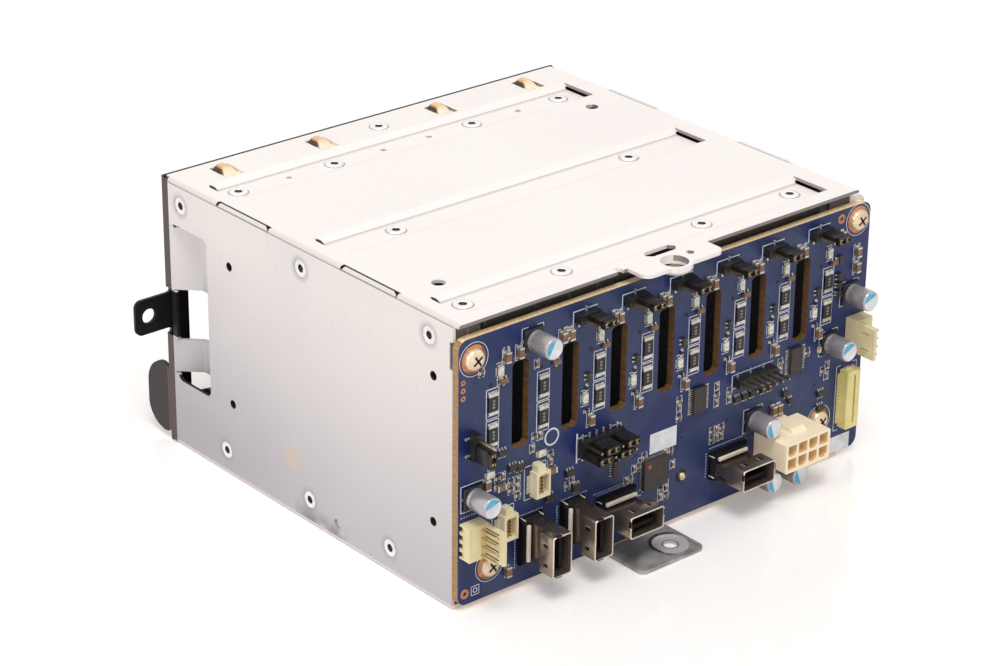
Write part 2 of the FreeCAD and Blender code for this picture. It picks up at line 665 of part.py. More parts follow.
def small_header(x, z):
    """Low open shroud with a keyed top and its leads at one side."""
    tall = 3.0
    half_x = 2.5
    half_z = 3.8
    body = box((x - half_x, x + half_x), (BOARD_Y, BOARD_Y + tall), (z - half_z, z + half_z))
    key = box((x - 0.9, x + 1.7), (BOARD_Y, BOARD_Y + tall - 0.4), (z + half_z - 0.1, z + half_z + 2.3))
    key = rounded(key, 0.6, "y", lambda p: p.z > z + half_z + 2)
    well = soft_box((x - half_x + 0.7, x + half_x - 0.9), (BOARD_Y + 0.8, BOARD_Y + tall + 1),
                    (z - half_z + 0.8, z + half_z - 0.8), 0.4, "y")
    leads = box((x + half_x - 0.2, x + half_x + 1.3), (BOARD_Y, BOARD_Y + 0.35), (z - 2.7, z + 2.7))
    return join(carve(join(body, key), well), leads)


def ribbon_connector():
    """Long low socket with one narrow slot and a row of fine leads."""
    x = (-76.6, -71.2)
    z = (10.2, 28.8)
    tall = 3.4
    body = box(x, (BOARD_Y, BOARD_Y + tall), z)
    body = rounded(body, 0.5, "z", lambda p: p.y > BOARD_Y + 3)
    slot = box((x[0] + 2.0, x[0] + 2.8), (BOARD_Y + 0.8, BOARD_Y + tall + 1), (z[0] + 1.4, z[1] - 1.4))
    strip = box((x[1] - 0.2, x[1] + 1.0), (BOARD_Y, BOARD_Y + 0.25), (z[0] + 1.2, z[1] - 1.2))
    return join(carve(body, slot), strip)


def pin_row(count, rows, tip):
    """Header base with square pins, long side along X, standing on y = 0."""
    half_l = count * PIN_PITCH / 2
    half_w = rows * PIN_PITCH / 2
    half = PIN_SIDE / 2
    base = box((-half_l, half_l), (0, HEADER_H), (-half_w, half_w))
    pins = []
    for row in range(rows):
        for column in range(count):
            cx = (column - (count - 1) / 2) * PIN_PITCH
            cz = (row - (rows - 1) / 2) * PIN_PITCH
            pins.append(box((cx - half, cx + half), (HEADER_H - 0.5, tip), (cz - half, cz + half)))
    return join(base, *pins)


def jumper_cap():
    """Two way jumper cap on y = 0: a well for each pin, joined at the open far end."""
    half_l = PIN_PITCH - 0.15
    half_w = PIN_PITCH / 2 - 0.15
    well = 0.65
    cap = box((-half_l, half_l), (0, CAP_H), (-half_w, half_w))
    wells = []
    for side in (1, -1):
        cx = side * PIN_PITCH / 2
        wells.append(box((cx - well, cx + well), (-1, CAP_H + 1), (-well, well)))
    bridge = box((-PIN_PITCH / 2, PIN_PITCH / 2), (CAP_H - 1.4, CAP_H + 1), (-well, well))
    return carve(cap, *wells, bridge)


def place(shape, x, z, turn=0):
    """Stand a piece made on y = 0 on the board, turned about the board's normal."""
    if turn:
        shape = shape.rotated(V(0, 0, 0), V(0, 1, 0), turn)
    return shape.translated(V(x, BOARD_Y, z))


def capacitor_can(x, z):
    base = box((x - 3.3, x + 3.3), (BOARD_Y, BOARD_Y + 1.4), (z - 3.3, z + 3.3))
    base = base.makeChamfer(1.3, edges_along(base, "y", lambda p: p.x > x))
    can = prism((x, BOARD_Y + 1.2, z), CAN_R, 7.8, (0, 1, 0), 14)
    can = can.makeChamfer(0.4, [e for e in can.Edges if e.CenterOfMass.y > BOARD_Y + 8])
    return join(base, can)


def chip(x, z, size, tall):
    """Surface mount body; size is its length along X and along Z."""
    return box((x - size[0] / 2, x + size[0] / 2), (BOARD_Y, BOARD_Y + tall),
               (z - size[1] / 2, z + size[1] / 2))


def jumper_places():
    """Header centre, cap centre and turn for each three pin jumper."""
    step = PIN_PITCH / 2
    places = [((x, JUMPER_Z), (x - step, JUMPER_Z), 0) for x in JUMPER_X]
    x, z = CROSS_HEADER
    places.append((CROSS_HEADER, (x, z - step), 90))
    return places


def config_cap_places():
    """Caps on pin pairs: the upper row starts one column later than the lower row."""
    x, z = CONFIG_HEADER
    row = PIN_PITCH / 2
    places = []
    for column in (0, 3):
        low_x = x + (2 - column) * PIN_PITCH
        places.append((low_x, z - row))
        places.append((low_x - PIN_PITCH, z + row))
    return places


def chip_resistors():
    columns = [62.7, 45.0] + [24.75 - k * BAY_PITCH for k in range(6)]
    return [chip(x, z, (3.2, 6.4), 0.7) for x in columns for z in (59.2, 50.0)]


def status_leds():
    upper = [(60.2, 68.0)] + [(24.75 - k * BAY_PITCH, 68.0) for k in range(6)]
    lower = [(30.0 - k * BAY_PITCH, 50.75) for k in range(6)]
    return [chip(x, z, (1.8, 3.0), 0.9) for x, z in upper + lower]


def chip_capacitors():
    top_row = [53.75, 58.2, 38.6] + [35.8 - k * BAY_PITCH for k in range(6)]
    places = [(x, 71.6) for x in top_row]
    places.extend((27.9 - k * BAY_PITCH, 43.7) for k in range(6))
    places.extend([(-75.0, 65.5), (-75.0, 60.7)])
    return [chip(x, z, (1.7, 3.2), 1.6) for x, z in places]


def main():
    os.makedirs("parts", exist_ok=True)
    save("top_cover", top_cover())
    save("bottom_plate", bottom_plate())
    save("side_bracket_right", side_bracket_right())
    save("side_bracket_left", side_bracket_left())
    save("front_frame", front_frame())
    save("lower_guide_base", guide_base())
    save("upper_guide_base", upside_down(guide_base()))
    save_group("lower_guide_blades", guide_blades(first_relieved=False))
    save_group("upper_guide_blades", [upside_down(blade) for blade in guide_blades(first_relieved=True)])
    save("rear_cross_strip", rear_cross_strip())
    lower = [upside_down(piece) for piece in floor_rivets()]
    save_group("floor_rivets", floor_rivets() + [frame_rivet()] + lower)
    save_group("side_rivets", side_rivets() + [mirrored(piece) for piece in side_rivets()])
    for number, x in enumerate(SPRING_X, 1):
        save("grounding_spring_%d" % number, grounding_spring(x))
    save("backplane_board", backplane_board())
    save_group("board_screws", board_screws())
    save("locating_pin", locating_pin())
    for bay in range(BAYS):
        save("drive_connector_%d" % (bay + 1), drive_connector(FIRST_SOCKET_X - bay * BAY_PITCH))
    for number, (x, z, turned) in enumerate(PORTS, 1):
        save("data_port_core_%d" % number, data_port_core(x, z, turned))
        save("data_port_shell_%d" % number, data_port_shell(x, z, turned))
    save("power_connector", power_connector())
    save("fan_header_1", place(fan_header(), 67.0, 21.8))
    save("fan_header_2", place(fan_header(), -72.3, 40.2, 180))
    save("small_header_1", small_header(46.8, 31.0))
    save("small_header_2", small_header(58.1, 21.6))
    save("ribbon_connector", ribbon_connector())
    headers = []
    for number, (header_at, cap_at, turn) in enumerate(jumper_places(), 1):
        headers.append(place(pin_row(3, 1, PIN_TIP), *header_at, turn))
        cap = place(jumper_cap(), *cap_at, turn).translated(V(0, HEADER_H + CAP_GAP, 0))
        save("jumper_cap_%d" % number, cap)
    save_group("jumper_headers", headers)
    save("config_header", place(pin_row(6, 2, PIN_TIP), *CONFIG_HEADER))
    for number, cap_at in enumerate(config_cap_places(), 1):
        cap = place(jumper_cap(), *cap_at).translated(V(0, HEADER_H + CAP_GAP, 0))
        save("config_cap_%d" % number, cap)
    save("service_header", place(pin_row(6, 1, PIN_TIP), *SERVICE_HEADER))
    save_group("capacitor_cans", [capacitor_can(x, z) for x, z in CANS])
    save_group("logic_chips", [chip(3.3, 19.6, (9.2, 9.0), 1.4), chip(-13.0, 37.1, (4.8, 8.0), 1.2),
                               chip(-51.4, 38.0, (4.8, 8.0), 1.2)])
    save_group("chip_resistors", chip_resistors())
    save_group("chip_capacitors", chip_capacitors())
    save_group("status_leds", status_leds())


main()
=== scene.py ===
import math
import random

import bmesh
import bpy
from mathutils import Matrix, Vector


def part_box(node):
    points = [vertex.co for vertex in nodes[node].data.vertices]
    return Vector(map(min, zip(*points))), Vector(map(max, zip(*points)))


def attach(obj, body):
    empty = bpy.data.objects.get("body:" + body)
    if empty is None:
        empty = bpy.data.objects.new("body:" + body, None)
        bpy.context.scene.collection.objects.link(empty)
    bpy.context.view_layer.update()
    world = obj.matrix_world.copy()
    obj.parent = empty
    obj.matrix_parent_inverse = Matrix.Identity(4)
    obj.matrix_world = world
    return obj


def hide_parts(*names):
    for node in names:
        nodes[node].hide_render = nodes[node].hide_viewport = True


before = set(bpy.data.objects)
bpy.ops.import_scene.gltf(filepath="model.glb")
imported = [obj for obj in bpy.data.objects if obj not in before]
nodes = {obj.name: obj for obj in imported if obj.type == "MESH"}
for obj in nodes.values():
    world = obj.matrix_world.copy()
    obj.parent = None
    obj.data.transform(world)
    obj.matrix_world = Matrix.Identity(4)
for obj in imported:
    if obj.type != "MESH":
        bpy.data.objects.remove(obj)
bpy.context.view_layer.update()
MM = 0.001

# Places that everything else is measured from, in metres; the first three are read from model.glb.
board_low, board_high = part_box("backplane_board")
BOARD_Y = board_high.y          # outer face of the board
PLATE_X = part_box("side_bracket_right")[1].x
PLATE_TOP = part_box("side_bracket_right")[1].z
COVER_UP = 0.0833               # the cover's top sheet lies above this
NOTCHES = ((-0.0404, -0.0157), (0.0169, 0.0414))        # along Y, in the cover's bend

# Places in millimetres.
RIB_Y = (-45.7, 4.5, 54.6)      # middles of the pressed channels
COVER_RIVETS = ([(x, y) for y in (RIB_Y[0], RIB_Y[2]) for x in (-58.7, -23.9, 28.3, 62.8)]
                + [(-42.2, RIB_Y[1]), (45.3, RIB_Y[1]), (1.8, -58.5)])
SIDE_RIVETS = [(y, 78.0) for y in (-58.5, -1.2, 54.6)] + [(y, 7.4) for y in (-38.8, 1.2, 37.6)]
SIDE_HOLES = [(y, z) for y in (-34.9, 56.65) for z in (23.7, 67.05)]
LEVEL_HEADERS = [(x, 75.5) for x in (30.3, 12.6, -5.1, -22.8, -40.5, -59.0)]
PIN_PITCH = 2.54
OUT = Vector((0, 1, 0))         # away from the board
RNG = random.Random(7)


# ---- colour and node helpers ----------------------------------------------
def srgb(r, g, b):
    """An 8 bit display colour as scene linear RGBA."""
    def lin(v):
        v /= 255
        return v / 12.92 if v <= 0.04045 else ((v + 0.055) / 1.055) ** 2.4
    return (lin(r), lin(g), lin(b), 1.0)


def shown(color):
    """A display colour (r, g, b) as scene linear RGBA, and a socket as it is."""
    return color if isinstance(color, bpy.types.NodeSocket) else srgb(*color)


def feed(tree, value, socket):
    """Links a node's output to a socket, or gives the socket a plain value."""
    if isinstance(value, bpy.types.NodeSocket):
        tree.links.new(value, socket)
    else:
        socket.default_value = value


def add_node(tree, kind, *inputs, **settings):
    node = tree.nodes.new(kind)
    for key, value in settings.items():
        setattr(node, key, value)
    for socket, value in zip(node.inputs, inputs):
        feed(tree, value, socket)
    return node


class Shade:
    """A procedural material: a Principled shader with a few wiring shortcuts."""

    def __init__(self, name, color, rough=0.5, metal=0.0, coat=0.0, specular=0.5):
        self.mat = bpy.data.materials.new(name)
        self.mat.use_nodes = True
        color = srgb(*color)
        self.mat.diffuse_color = color
        self.tree = self.mat.node_tree
        self.shader = self.tree.nodes["Principled BSDF"]
        self.set("Base Color", color)
        self.set("Roughness", rough)
        self.set("Metallic", metal)
        self.set("Specular IOR Level", specular)
        if coat:
            self.set("Coat Weight", coat)
            self.set("Coat Roughness", 0.12)
        self.where = self.add("ShaderNodeTexCoord").outputs["Object"]
        self.axes = self.add("ShaderNodeSeparateXYZ", self.where).outputs

    def set(self, socket, value):
        self.shader.inputs[socket].default_value = value

    def add(self, kind, *inputs, **settings):
        return add_node(self.tree, kind, *inputs, **settings)

    def feed(self, value, socket):
        feed(self.tree, value, socket)

    def math(self, operation, a, b=0.0):
        return self.add("ShaderNodeMath", a, b, operation=operation).outputs[0]

    def noise(self, size, detail=2.0, rough=0.5, stretch=(1, 1, 1)):
        """Noise whose features are about size metres across."""
        vector = self.where
        if stretch != (1, 1, 1):
            vector = self.add("ShaderNodeVectorMath", vector, stretch, operation="MULTIPLY").outputs[0]
        node = self.add("ShaderNodeTexNoise")
        for socket, value in (("Vector", vector), ("Scale", 1 / size), ("Detail", detail),
                              ("Roughness", rough)):
            self.feed(value, node.inputs[socket])
        return node.outputs["Fac"]

    def step(self, value, low, high):
        """0 below low, 1 above high, and even between them."""
        return self.add("ShaderNodeMapRange", value, low, high, 0.0, 1.0).outputs[0]

    def blend(self, factor, a, b):
        node = self.add("ShaderNodeMix", data_type="RGBA")
        for socket, value in (("Factor", factor), (6, shown(a)), (7, shown(b))):
            self.feed(value, node.inputs[socket])
        return node.outputs[2]

    def color(self, value):
        self.feed(value, self.shader.inputs["Base Color"])

    def stain(self, mask, color, amount=1.0):
        """Lays a colour over the present one where mask is 1."""
        if amount < 1:
            mask = self.math("MULTIPLY", mask, amount)
        present = self.shader.inputs["Base Color"].links[0].from_socket
        self.color(self.blend(mask, present, color))

    def rough(self, value):
        self.feed(value, self.shader.inputs["Roughness"])

    def metal(self, value):
        self.feed(value, self.shader.inputs["Metallic"])

    def bump(self, height, strength, distance):
        node = self.add("ShaderNodeBump")
        for socket, value in (("Strength", strength), ("Distance", distance), ("Height", height)):
            self.feed(value, node.inputs[socket])
        self.feed(node.outputs[0], self.shader.inputs["Normal"])

    def lean(self, axis):
        """The surface's true normal along one axis, signed."""
        normal = self.add("ShaderNodeNewGeometry").outputs["True Normal"]
        return self.add("ShaderNodeSeparateXYZ", normal).outputs[axis]

    def facing(self, axis):
        """1 where the surface looks along +axis or -axis, 0 where it is edge on."""
        return self.math("ABSOLUTE", self.lean(axis))

    def over(self, axis, value):
        """1 where the place on that axis is more than value."""
        return self.math("GREATER_THAN", self.axes[axis], value)

    def under(self, axis, value):
        return self.math("LESS_THAN", self.axes[axis], value)

    def within(self, axis, low, high):
        """1 where the place on that axis lies between low and high."""
        return self.math("MULTIPLY", self.over(axis, low), self.under(axis, high))

    def ramp(self, axis, zero_at, one_at):
        """Rises evenly from 0 to 1 between two places on that axis."""
        return self.step(self.axes[axis], zero_at, one_at)

    def all_of(self, *masks):
        result = masks[0]
        for mask in masks[1:]:
            result = self.math("MULTIPLY", result, mask)
        return result

    def any_of(self, *masks):
        result = masks[0]
        for mask in masks[1:]:
            result = self.math("MAXIMUM", result, mask)
        return result

    def near(self, centre, radius, plane, soft=0.0003):
        """1 inside a circle seen along the axis that plane leaves out."""
        squares = []
        for axis, at in zip(plane, centre):
            off = self.math("SUBTRACT", self.axes[axis], at)
            squares.append(self.math("MULTIPLY", off, off))
        distance = self.math("SQRT", self.math("ADD", *squares))
        return self.step(distance, radius + soft, radius - soft)

    def rim(self, centre, outer, inner, plane):
        """1 on a ring; outer and inner are (radius, softness)."""
        return self.math("SUBTRACT", self.near(centre, outer[0], plane, outer[1]),
                         self.near(centre, inner[0], plane, inner[1]))


# ---- materials --------------------------------------------------------------
def zinc(name, warm=(243, 238, 234), cool=(231, 227, 228)):
    """Zinc plated sheet: soft cloudy tone and a fine rolling grain."""
    s = Shade(name, warm, rough=0.45, metal=0.35, specular=0.5)
    clouds = s.noise(0.06, 2.0, 0.5)
    grain = s.noise(0.0012, 2.0, 0.7, stretch=(1, 1, 0.25))
    s.color(s.blend(s.step(clouds, 0.3, 0.75), warm, cool))
    s.stain(s.step(grain, 0.6, 0.85), (205, 200, 202), 0.4)
    s.rough(s.step(clouds, -0.7, 1.7))
    s.bump(grain, 0.04, 0.0002)
    return s


def at_notches(s):
    return s.any_of(*[s.within("Y", low, high) for low, high in NOTCHES])


def cover_zinc():
    """Cover: bright zinc, lighter than the other sheets as painted light; painted shade along each
    channel's walls and in its ends, round the rivets, on the bend, the left ends and the rear edge; painted
    shadow in the notched seams.
    """
    # Painted light: the cover's zinc is a lighter copy of the sheets' zinc, for the top that faces the
    # light.
    s = zinc("zinc_cover", (252, 246, 242), (246, 240, 237))
    on_top = s.over("Z", COVER_UP)
    channel_end = 0.0684
    for y in RIB_Y:
        along = s.all_of(s.within("X", -0.067, 0.0668), on_top)
        # Painted shade: a soft dark band along the foot of each channel's far wall.
        foot = s.all_of(s.over("Y", (y - 4.95) * MM), s.ramp("Y", (y - 3.4) * MM, (y - 4.9) * MM), along)
        s.stain(foot, (196, 182, 178), 0.75)
        # Painted shade: a faint line on the crest of the near wall, which leans away.
        crest = s.all_of(s.within("Y", (y + 6.75) * MM, (y + 7.15) * MM), along)
        s.stain(crest, (216, 200, 194), 0.45)
        # Painted shade: a dark half moon in the open end of each channel.
        moon = s.all_of(s.near((channel_end, (y - 5.0) * MM), 0.0017, "XY", 0.0002), on_top,
                        s.under("X", channel_end))
        s.stain(moon, (52, 42, 34))
    # Painted shade: a grey ring round each rivet head, on faces that look up.
    for x, y in COVER_RIVETS:
        ring = s.rim((x * MM, y * MM), (0.0031, 0.0002), (0.00265, 0.0001), "XY")
        s.stain(s.all_of(ring, on_top, s.step(s.lean("Z"), 0.5, 0.9)), (168, 158, 154))
    # Painted shade on the rounded bend into the side.
    bend = s.all_of(s.ramp("X", PLATE_X - 0.0016, PLATE_X - 0.0004), s.over("Z", 0.083))
    s.stain(bend, (214, 202, 198), 0.55)
    # Painted shade on faces that look along X, at the left end.
    ends = s.all_of(s.math("GREATER_THAN", s.facing("X"), 0.6), on_top, s.under("X", 0.0))
    s.stain(ends, (120, 112, 108), 0.8)
    # Painted shadow in the gaps at the notches of the bend.
    s.stain(s.all_of(at_notches(s), on_top, s.over("X", PLATE_X - 0.00155)), (62, 50, 44))
    # Painted shade on the rear edge that faces the board.
    rear_edge = s.all_of(s.math("GREATER_THAN", s.lean("Y"), 0.8), s.within("Y", 0.0668, 0.0672))
    s.stain(rear_edge, (96, 88, 84), 0.8)
    return s


def side_zinc():
    """Plate beside the first bay: painted shade low down, round the rivets' press rings, in its holes, gaps
    and seam; a smudge of wear and a clear lacquer dot.
    """
    s = zinc("zinc_side")
    # Painted shade: darker towards the bottom.
    s.stain(s.ramp("Z", 0.075, 0.0), (188, 184, 191), 0.8)
    # Painted shade: darker still low down towards the front.
    low_front = s.math("MULTIPLY", s.ramp("Z", 0.05, 0.01), s.ramp("Y", 0.02, -0.05))
    s.stain(low_front, (160, 156, 164), 0.35)
    # Painted shade: a soft grey halo round each rivet, in its press ring.
    for y, z in SIDE_RIVETS:
        s.stain(s.near((y * MM, z * MM), 0.0036, "YZ", 0.0008), (168, 160, 162), 0.5)
    # Painted shade: dark in the tapped holes.
    for y, z in SIDE_HOLES:
        s.stain(s.near((y * MM, z * MM), 0.00135, "YZ", 0.0001), (66, 54, 46))
    # Black painted shade: in the gap at the notch tabs, at the ear's root, on the window's sill and in a
    # slit along its top edge.
    inner_tab = s.all_of(at_notches(s), s.over("Z", PLATE_TOP - 0.0011), s.under("X", PLATE_X - 0.0005))
    ear_root = s.all_of(s.within("Z", 0.0352, 0.0497), s.under("Y", -0.0619), s.over("X", PLATE_X - 0.0011))
    sill = s.all_of(s.within("Z", 0.0212, 0.0232), s.within("Y", -0.0623, -0.0459),
                    s.math("GREATER_THAN", s.facing("Z"), 0.3))
    slit = s.all_of(s.within("Z", 0.0698, 0.0712), s.within("Y", -0.0624, -0.0588))
    s.stain(s.any_of(inner_tab, ear_root, sill, slit), (34, 28, 26))
    # Painted shade in the seam under the cover's bend.
    seam = s.all_of(s.within("Z", 0.08365, 0.0842), s.over("X", 0.0743))
    s.stain(seam, (96, 84, 80), 0.65)
    s.stain(s.near((-0.0066, 0.0173), 0.0035, "YZ", 0.00015), (222, 200, 172), 0.55)
    wear = s.all_of(s.ramp("Z", 0.0062, 0.0022), s.ramp("Y", -0.007, 0.0), s.ramp("Y", 0.02, 0.014),
                    s.step(s.noise(0.004, 3.0), 0.3, 0.55))
    s.stain(wear, (120, 110, 108), 0.6)
    return s


def floor_zinc():
    """Underside plate: its fixing tab is a darker grey and has a pressed disc with a painted highlight,
    painted shade at the hole's edge and a dark groove round it, a painted shadow on its inner side.
    """
    s = zinc("zinc_floor")
    hole = (0.0044, 0.076)
    tab = s.over("Y", BOARD_Y)
    # The tab is painted a darker mottled grey.
    tab_grey = s.blend(s.step(s.noise(0.006, 2.0), 0.35, 0.65), (186, 182, 180), (140, 136, 133))
    s.stain(tab, tab_grey, 0.9)
    # Painted highlight on the pressed disc round the hole.
    s.stain(s.all_of(s.near(hole, 0.0053, "XY", 0.0002), tab), (224, 216, 216))
    # Painted shade at the hole's edge.
    s.stain(s.rim(hole, (0.0025, 0.0001), (0.0021, 0.0001), "XY"), (84, 74, 70), 0.8)
    # Painted shadow in the groove round the disc, on its inner side only.
    groove = s.rim(hole, (0.0064, 0.0003), (0.0053, 0.0002), "XY")
    inner_side = s.step(s.math("SUBTRACT", s.axes["X"], s.axes["Y"]), -0.0745, -0.0705)
    s.stain(s.all_of(groove, tab, inner_side), (72, 64, 60))
    s.rough(s.math("SUBTRACT", 0.45, s.math("MULTIPLY", tab, 0.15)))
    return s


def plastic(name, color, dark, rough=0.5, size=0.004):
    """Moulded plastic: slight tone drift and a fine moulded texture."""
    s = Shade(name, color, rough=rough)
    drift = s.noise(size, 3.0)
    fine = s.noise(0.0003, 2.0)
    s.color(s.blend(s.step(drift, 0.35, 0.75), color, dark))
    s.bump(fine, 0.08, 0.0001)
    return s


def metal(name, color, dark, rough=0.3, metallic=0.9, size=0.003):
    s = Shade(name, color, rough=rough, metal=metallic)
    drift = s.noise(size, 3.0, 0.6)
    s.color(s.blend(s.step(drift, 0.4, 0.7), color, dark))
    s.rough(s.step(drift, 0.5 - 1.6 * rough, 0.5 + 2.2 * rough + 0.8))
    return s


def repaint(shade, *names):
    for name in names:
        mesh = nodes[name].data
        mesh.materials.clear()
        mesh.materials.append(shade.mat)


def numbered(stem, count):
    return ["%s_%d" % (stem, n) for n in range(1, count + 1)]


# ---- mesh helpers -------------------------------------------------------------
def V(x, y, z):
    """A point given in millimetres."""
    return Vector((x, y, z)) * MM


def pair(side, near, far):
    """Two distances to one side of a middle, the lower first."""
    return tuple(sorted((side * near, side * far)))


def piece(name, build, finishes, replaces=(), body="cage", smooth_angle=None):
    """Makes a build into a piece that rides on a CAD body; its finishes are named in order."""
    obj = bpy.data.objects.new(name, build.done(name, smooth_angle))
    bpy.context.scene.collection.objects.link(obj)
    for finish in finishes.split():
        obj.data.materials.append(FINISH[finish].mat)
    if replaces:
        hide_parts(*replaces)
    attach(obj, body)


def islands(node):
    """(lowest, highest) corner of every separate solid in a CAD node."""
    mesh = bmesh.new()
    mesh.from_mesh(nodes[node].data)
    bmesh.ops.remove_doubles(mesh, verts=mesh.verts, dist=1e-6)
    left = set(mesh.verts)
    boxes = []
    while left:
        front = [left.pop()]
        found = []
        while front:
            vert = front.pop()
            found.append(vert.co.copy())
            for edge in vert.link_edges:
                other = edge.other_vert(vert)
                if other in left:
                    left.remove(other)
                    front.append(other)
        low = Vector([min(co[i] for co in found) for i in range(3)])
        high = Vector([max(co[i] for co in found) for i in range(3)])
        boxes.append((low, high))
    mesh.free()
    return sorted(boxes, key=lambda b: (round(b[0].x, 4), round(b[0].z, 4), round(b[0].y, 4)))


class Build:
    """Collects simple forms in one mesh."""

    def __init__(self):
        self.mesh = bmesh.new()

    def block(self, low, high, material=0, bevel=0.0):
        """Box between two corners, its edges softened by bevel."""
        size = high - low
        made = bmesh.ops.create_cube(self.mesh, size=1.0)["verts"]
        bmesh.ops.scale(self.mesh, vec=size, verts=made)
        bmesh.ops.translate(self.mesh, vec=(low + high) / 2, verts=made)
        faces = {face for vert in made for face in vert.link_faces}
        for face in faces:
            face.material_index = material
        if bevel:
            edges = {edge for vert in made for edge in vert.link_edges}
            out = bmesh.ops.bevel(self.mesh, geom=list(edges), offset=bevel, segments=2,
                                  affect="EDGES", profile=0.5)
            for face in out["faces"]:
                face.material_index = material
        return made

    def lathe(self, origin, axis, profile, steps, material=0):
        """Turns (radius, height) points in mm round axis; a list gives each ring its material."""
        axis = axis.normalized()
        side = axis.orthogonal().normalized()
        rings = []
        for radius, height in profile:
            middle = origin + axis * (height * MM)
            if not radius:
                rings.append([self.mesh.verts.new(middle)] * steps)
                continue
            turns = [Matrix.Rotation(2 * math.pi * k / steps, 3, axis) for k in range(steps)]
            rings.append([self.mesh.verts.new(middle + turn @ side * (radius * MM)) for turn in turns])
        for index, (lower, upper) in enumerate(zip(rings, rings[1:])):
            which = material[index] if isinstance(material, list) else material
            for k in range(steps):
                n = (k + 1) % steps
                corners = [lower[k], lower[n], upper[n], upper[k]]
                corners = [c for i, c in enumerate(corners) if c not in corners[:i]]
                if len(corners) > 2:
                    face = self.mesh.faces.new(corners)
                    face.material_index = which
                    face.smooth = True

    def done(self, name, smooth_angle=None):
        bmesh.ops.recalc_face_normals(self.mesh, faces=self.mesh.faces)
        mesh = bpy.data.meshes.new(name)
        self.mesh.to_mesh(mesh)
        self.mesh.free()
        if smooth_angle:
            mesh.shade_smooth()
            mesh.set_sharp_from_angle(angle=math.radians(smooth_angle))
        return mesh


# ---- finishes of the CAD nodes ------------------------------------------------
def bare_metal(shade, mask, color):
    """Gives the masked part of a moulding the look of bare metal."""
    shade.stain(mask, color)
    shade.metal(mask)
    shade.rough(shade.math("SUBTRACT", 0.5, shade.math("MULTIPLY", mask, 0.22)))


def board_material():
    """Solder mask over copper: pours, fine tracks, laminate edge and routed slot walls, with painted shade
    on edges that face along X and deeper painted shade on the slot walls.
    """
    mask_blue = (38, 53, 95)
    deep_blue = (17, 36, 92)
    s = Shade("board_mask", mask_blue, rough=0.42, specular=0.45)
    pour = s.noise(0.02, 1.0, 0.4)
    color = s.blend(s.step(pour, 0.5, 0.56), mask_blue, deep_blue)
    for axis, seed in (("X", 0.011), ("Z", 0.017)):
        lines = s.math("SINE", s.math("MULTIPLY", s.axes[axis], 2 * math.pi / 0.0009))
        group = s.step(s.noise(seed, 0.0), 0.6, 0.62)
        track = s.math("MULTIPLY", s.step(lines, 0.25, 0.5), group)
        color = s.blend(s.math("MULTIPLY", track, 0.35), color, (70, 82, 128))
    edge = s.math("LESS_THAN", s.facing("Y"), 0.5)
    inner = s.all_of(s.within("Z", board_low.z + 0.035, board_high.z - 0.010),
                     s.within("X", board_low.x + 0.02, board_high.x - 0.015))
    fibres = s.step(s.noise(0.0006, 2.0, 0.6, stretch=(1, 0.2, 1)), 0.35, 0.7)
    # Painted shade: edges that face along X are darker than edges facing up or down.
    flank = s.math("GREATER_THAN", s.facing("X"), 0.5)
    tan = s.blend(fibres, s.blend(flank, (252, 228, 186), (186, 150, 108)),
                  s.blend(flank, (228, 194, 146), (150, 116, 78)))
    # Painted shade: the routed slot walls are a deeper brown.
    brown = s.blend(fibres, (128, 92, 52), (92, 62, 34))
    color = s.blend(edge, color, s.blend(inner, tan, brown))
    s.color(color)
    s.rough(s.math("ADD", 0.4, s.math("MULTIPLY", edge, 0.35)))
    s.bump(s.noise(0.0012, 2.0), 0.08, 0.0001)
    return s


def header_material(name, pin_from, foot_masks):
    """Black moulding with gilt pins above pin_from and tinned feet beside the base."""
    s = plastic(name, (30, 27, 27), (18, 16, 16), rough=0.45)
    pins = s.over("Y", pin_from)
    feet = s.all_of(s.under("Y", BOARD_Y + 0.5 * MM), foot_masks(s))
    bare_metal(s, s.any_of(pins, feet), (172, 156, 122))
    return s


def outside(shade, axis, centre, half):
    """1 further than half from centre on that axis."""
    off = shade.math("ABSOLUTE", shade.math("SUBTRACT", shade.axes[axis], centre))
    return shade.math("GREATER_THAN", off, half)


def frame_material():
    """Black lacquered sheet, with a grey-brown painted sheen where it faces the side, dimmer on the lobe.
    """
    s = Shade("frame_lacquer", (24, 22, 22), rough=0.5, specular=0.3)
    drift = s.noise(0.012, 3.0)
    color = s.blend(s.step(drift, 0.35, 0.7), (24, 22, 22), (15, 13, 14))
    # Painted sheen: faces that look along X beside the side plate are grey-brown, dimmer on the lobe.
    side = s.all_of(s.math("GREATER_THAN", s.facing("X"), 0.5),
                    s.within("X", PLATE_X - 0.001, PLATE_X + 0.0005))
    lobe = s.under("Y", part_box("top_cover")[0].y - 0.002)
    color = s.blend(side, color, s.blend(lobe, (92, 80, 79), (62, 55, 58)))
    s.color(color)
    s.bump(s.noise(0.0006, 2.0), 0.1, 0.0001)
    return s


def power_material():
    """Cream nylon with a faint painted glow, and painted shade in its cells, tan and browner deeper in."""
    s = plastic("power_nylon", (255, 240, 212), (251, 231, 200), rough=0.45)
    # Painted light: a faint cream glow.
    s.set("Emission Color", srgb(255, 232, 190))
    s.set("Emission Strength", 0.1)
    low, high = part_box("power_connector")
    middle_z = low.z + 4.7 * MM
    # Painted shade inside the cells: tan at their mouths, browner deeper in.
    inside = s.all_of(s.within("X", low.x + 0.4 * MM, high.x - 0.4 * MM),
                      s.within("Z", middle_z - 4.4 * MM, middle_z + 4.4 * MM),
                      s.under("Y", high.y - 0.25 * MM))
    depth = s.ramp("Y", high.y, high.y - 9 * MM)
    s.stain(inside, s.blend(depth, (226, 190, 134), (156, 112, 62)))
    return s


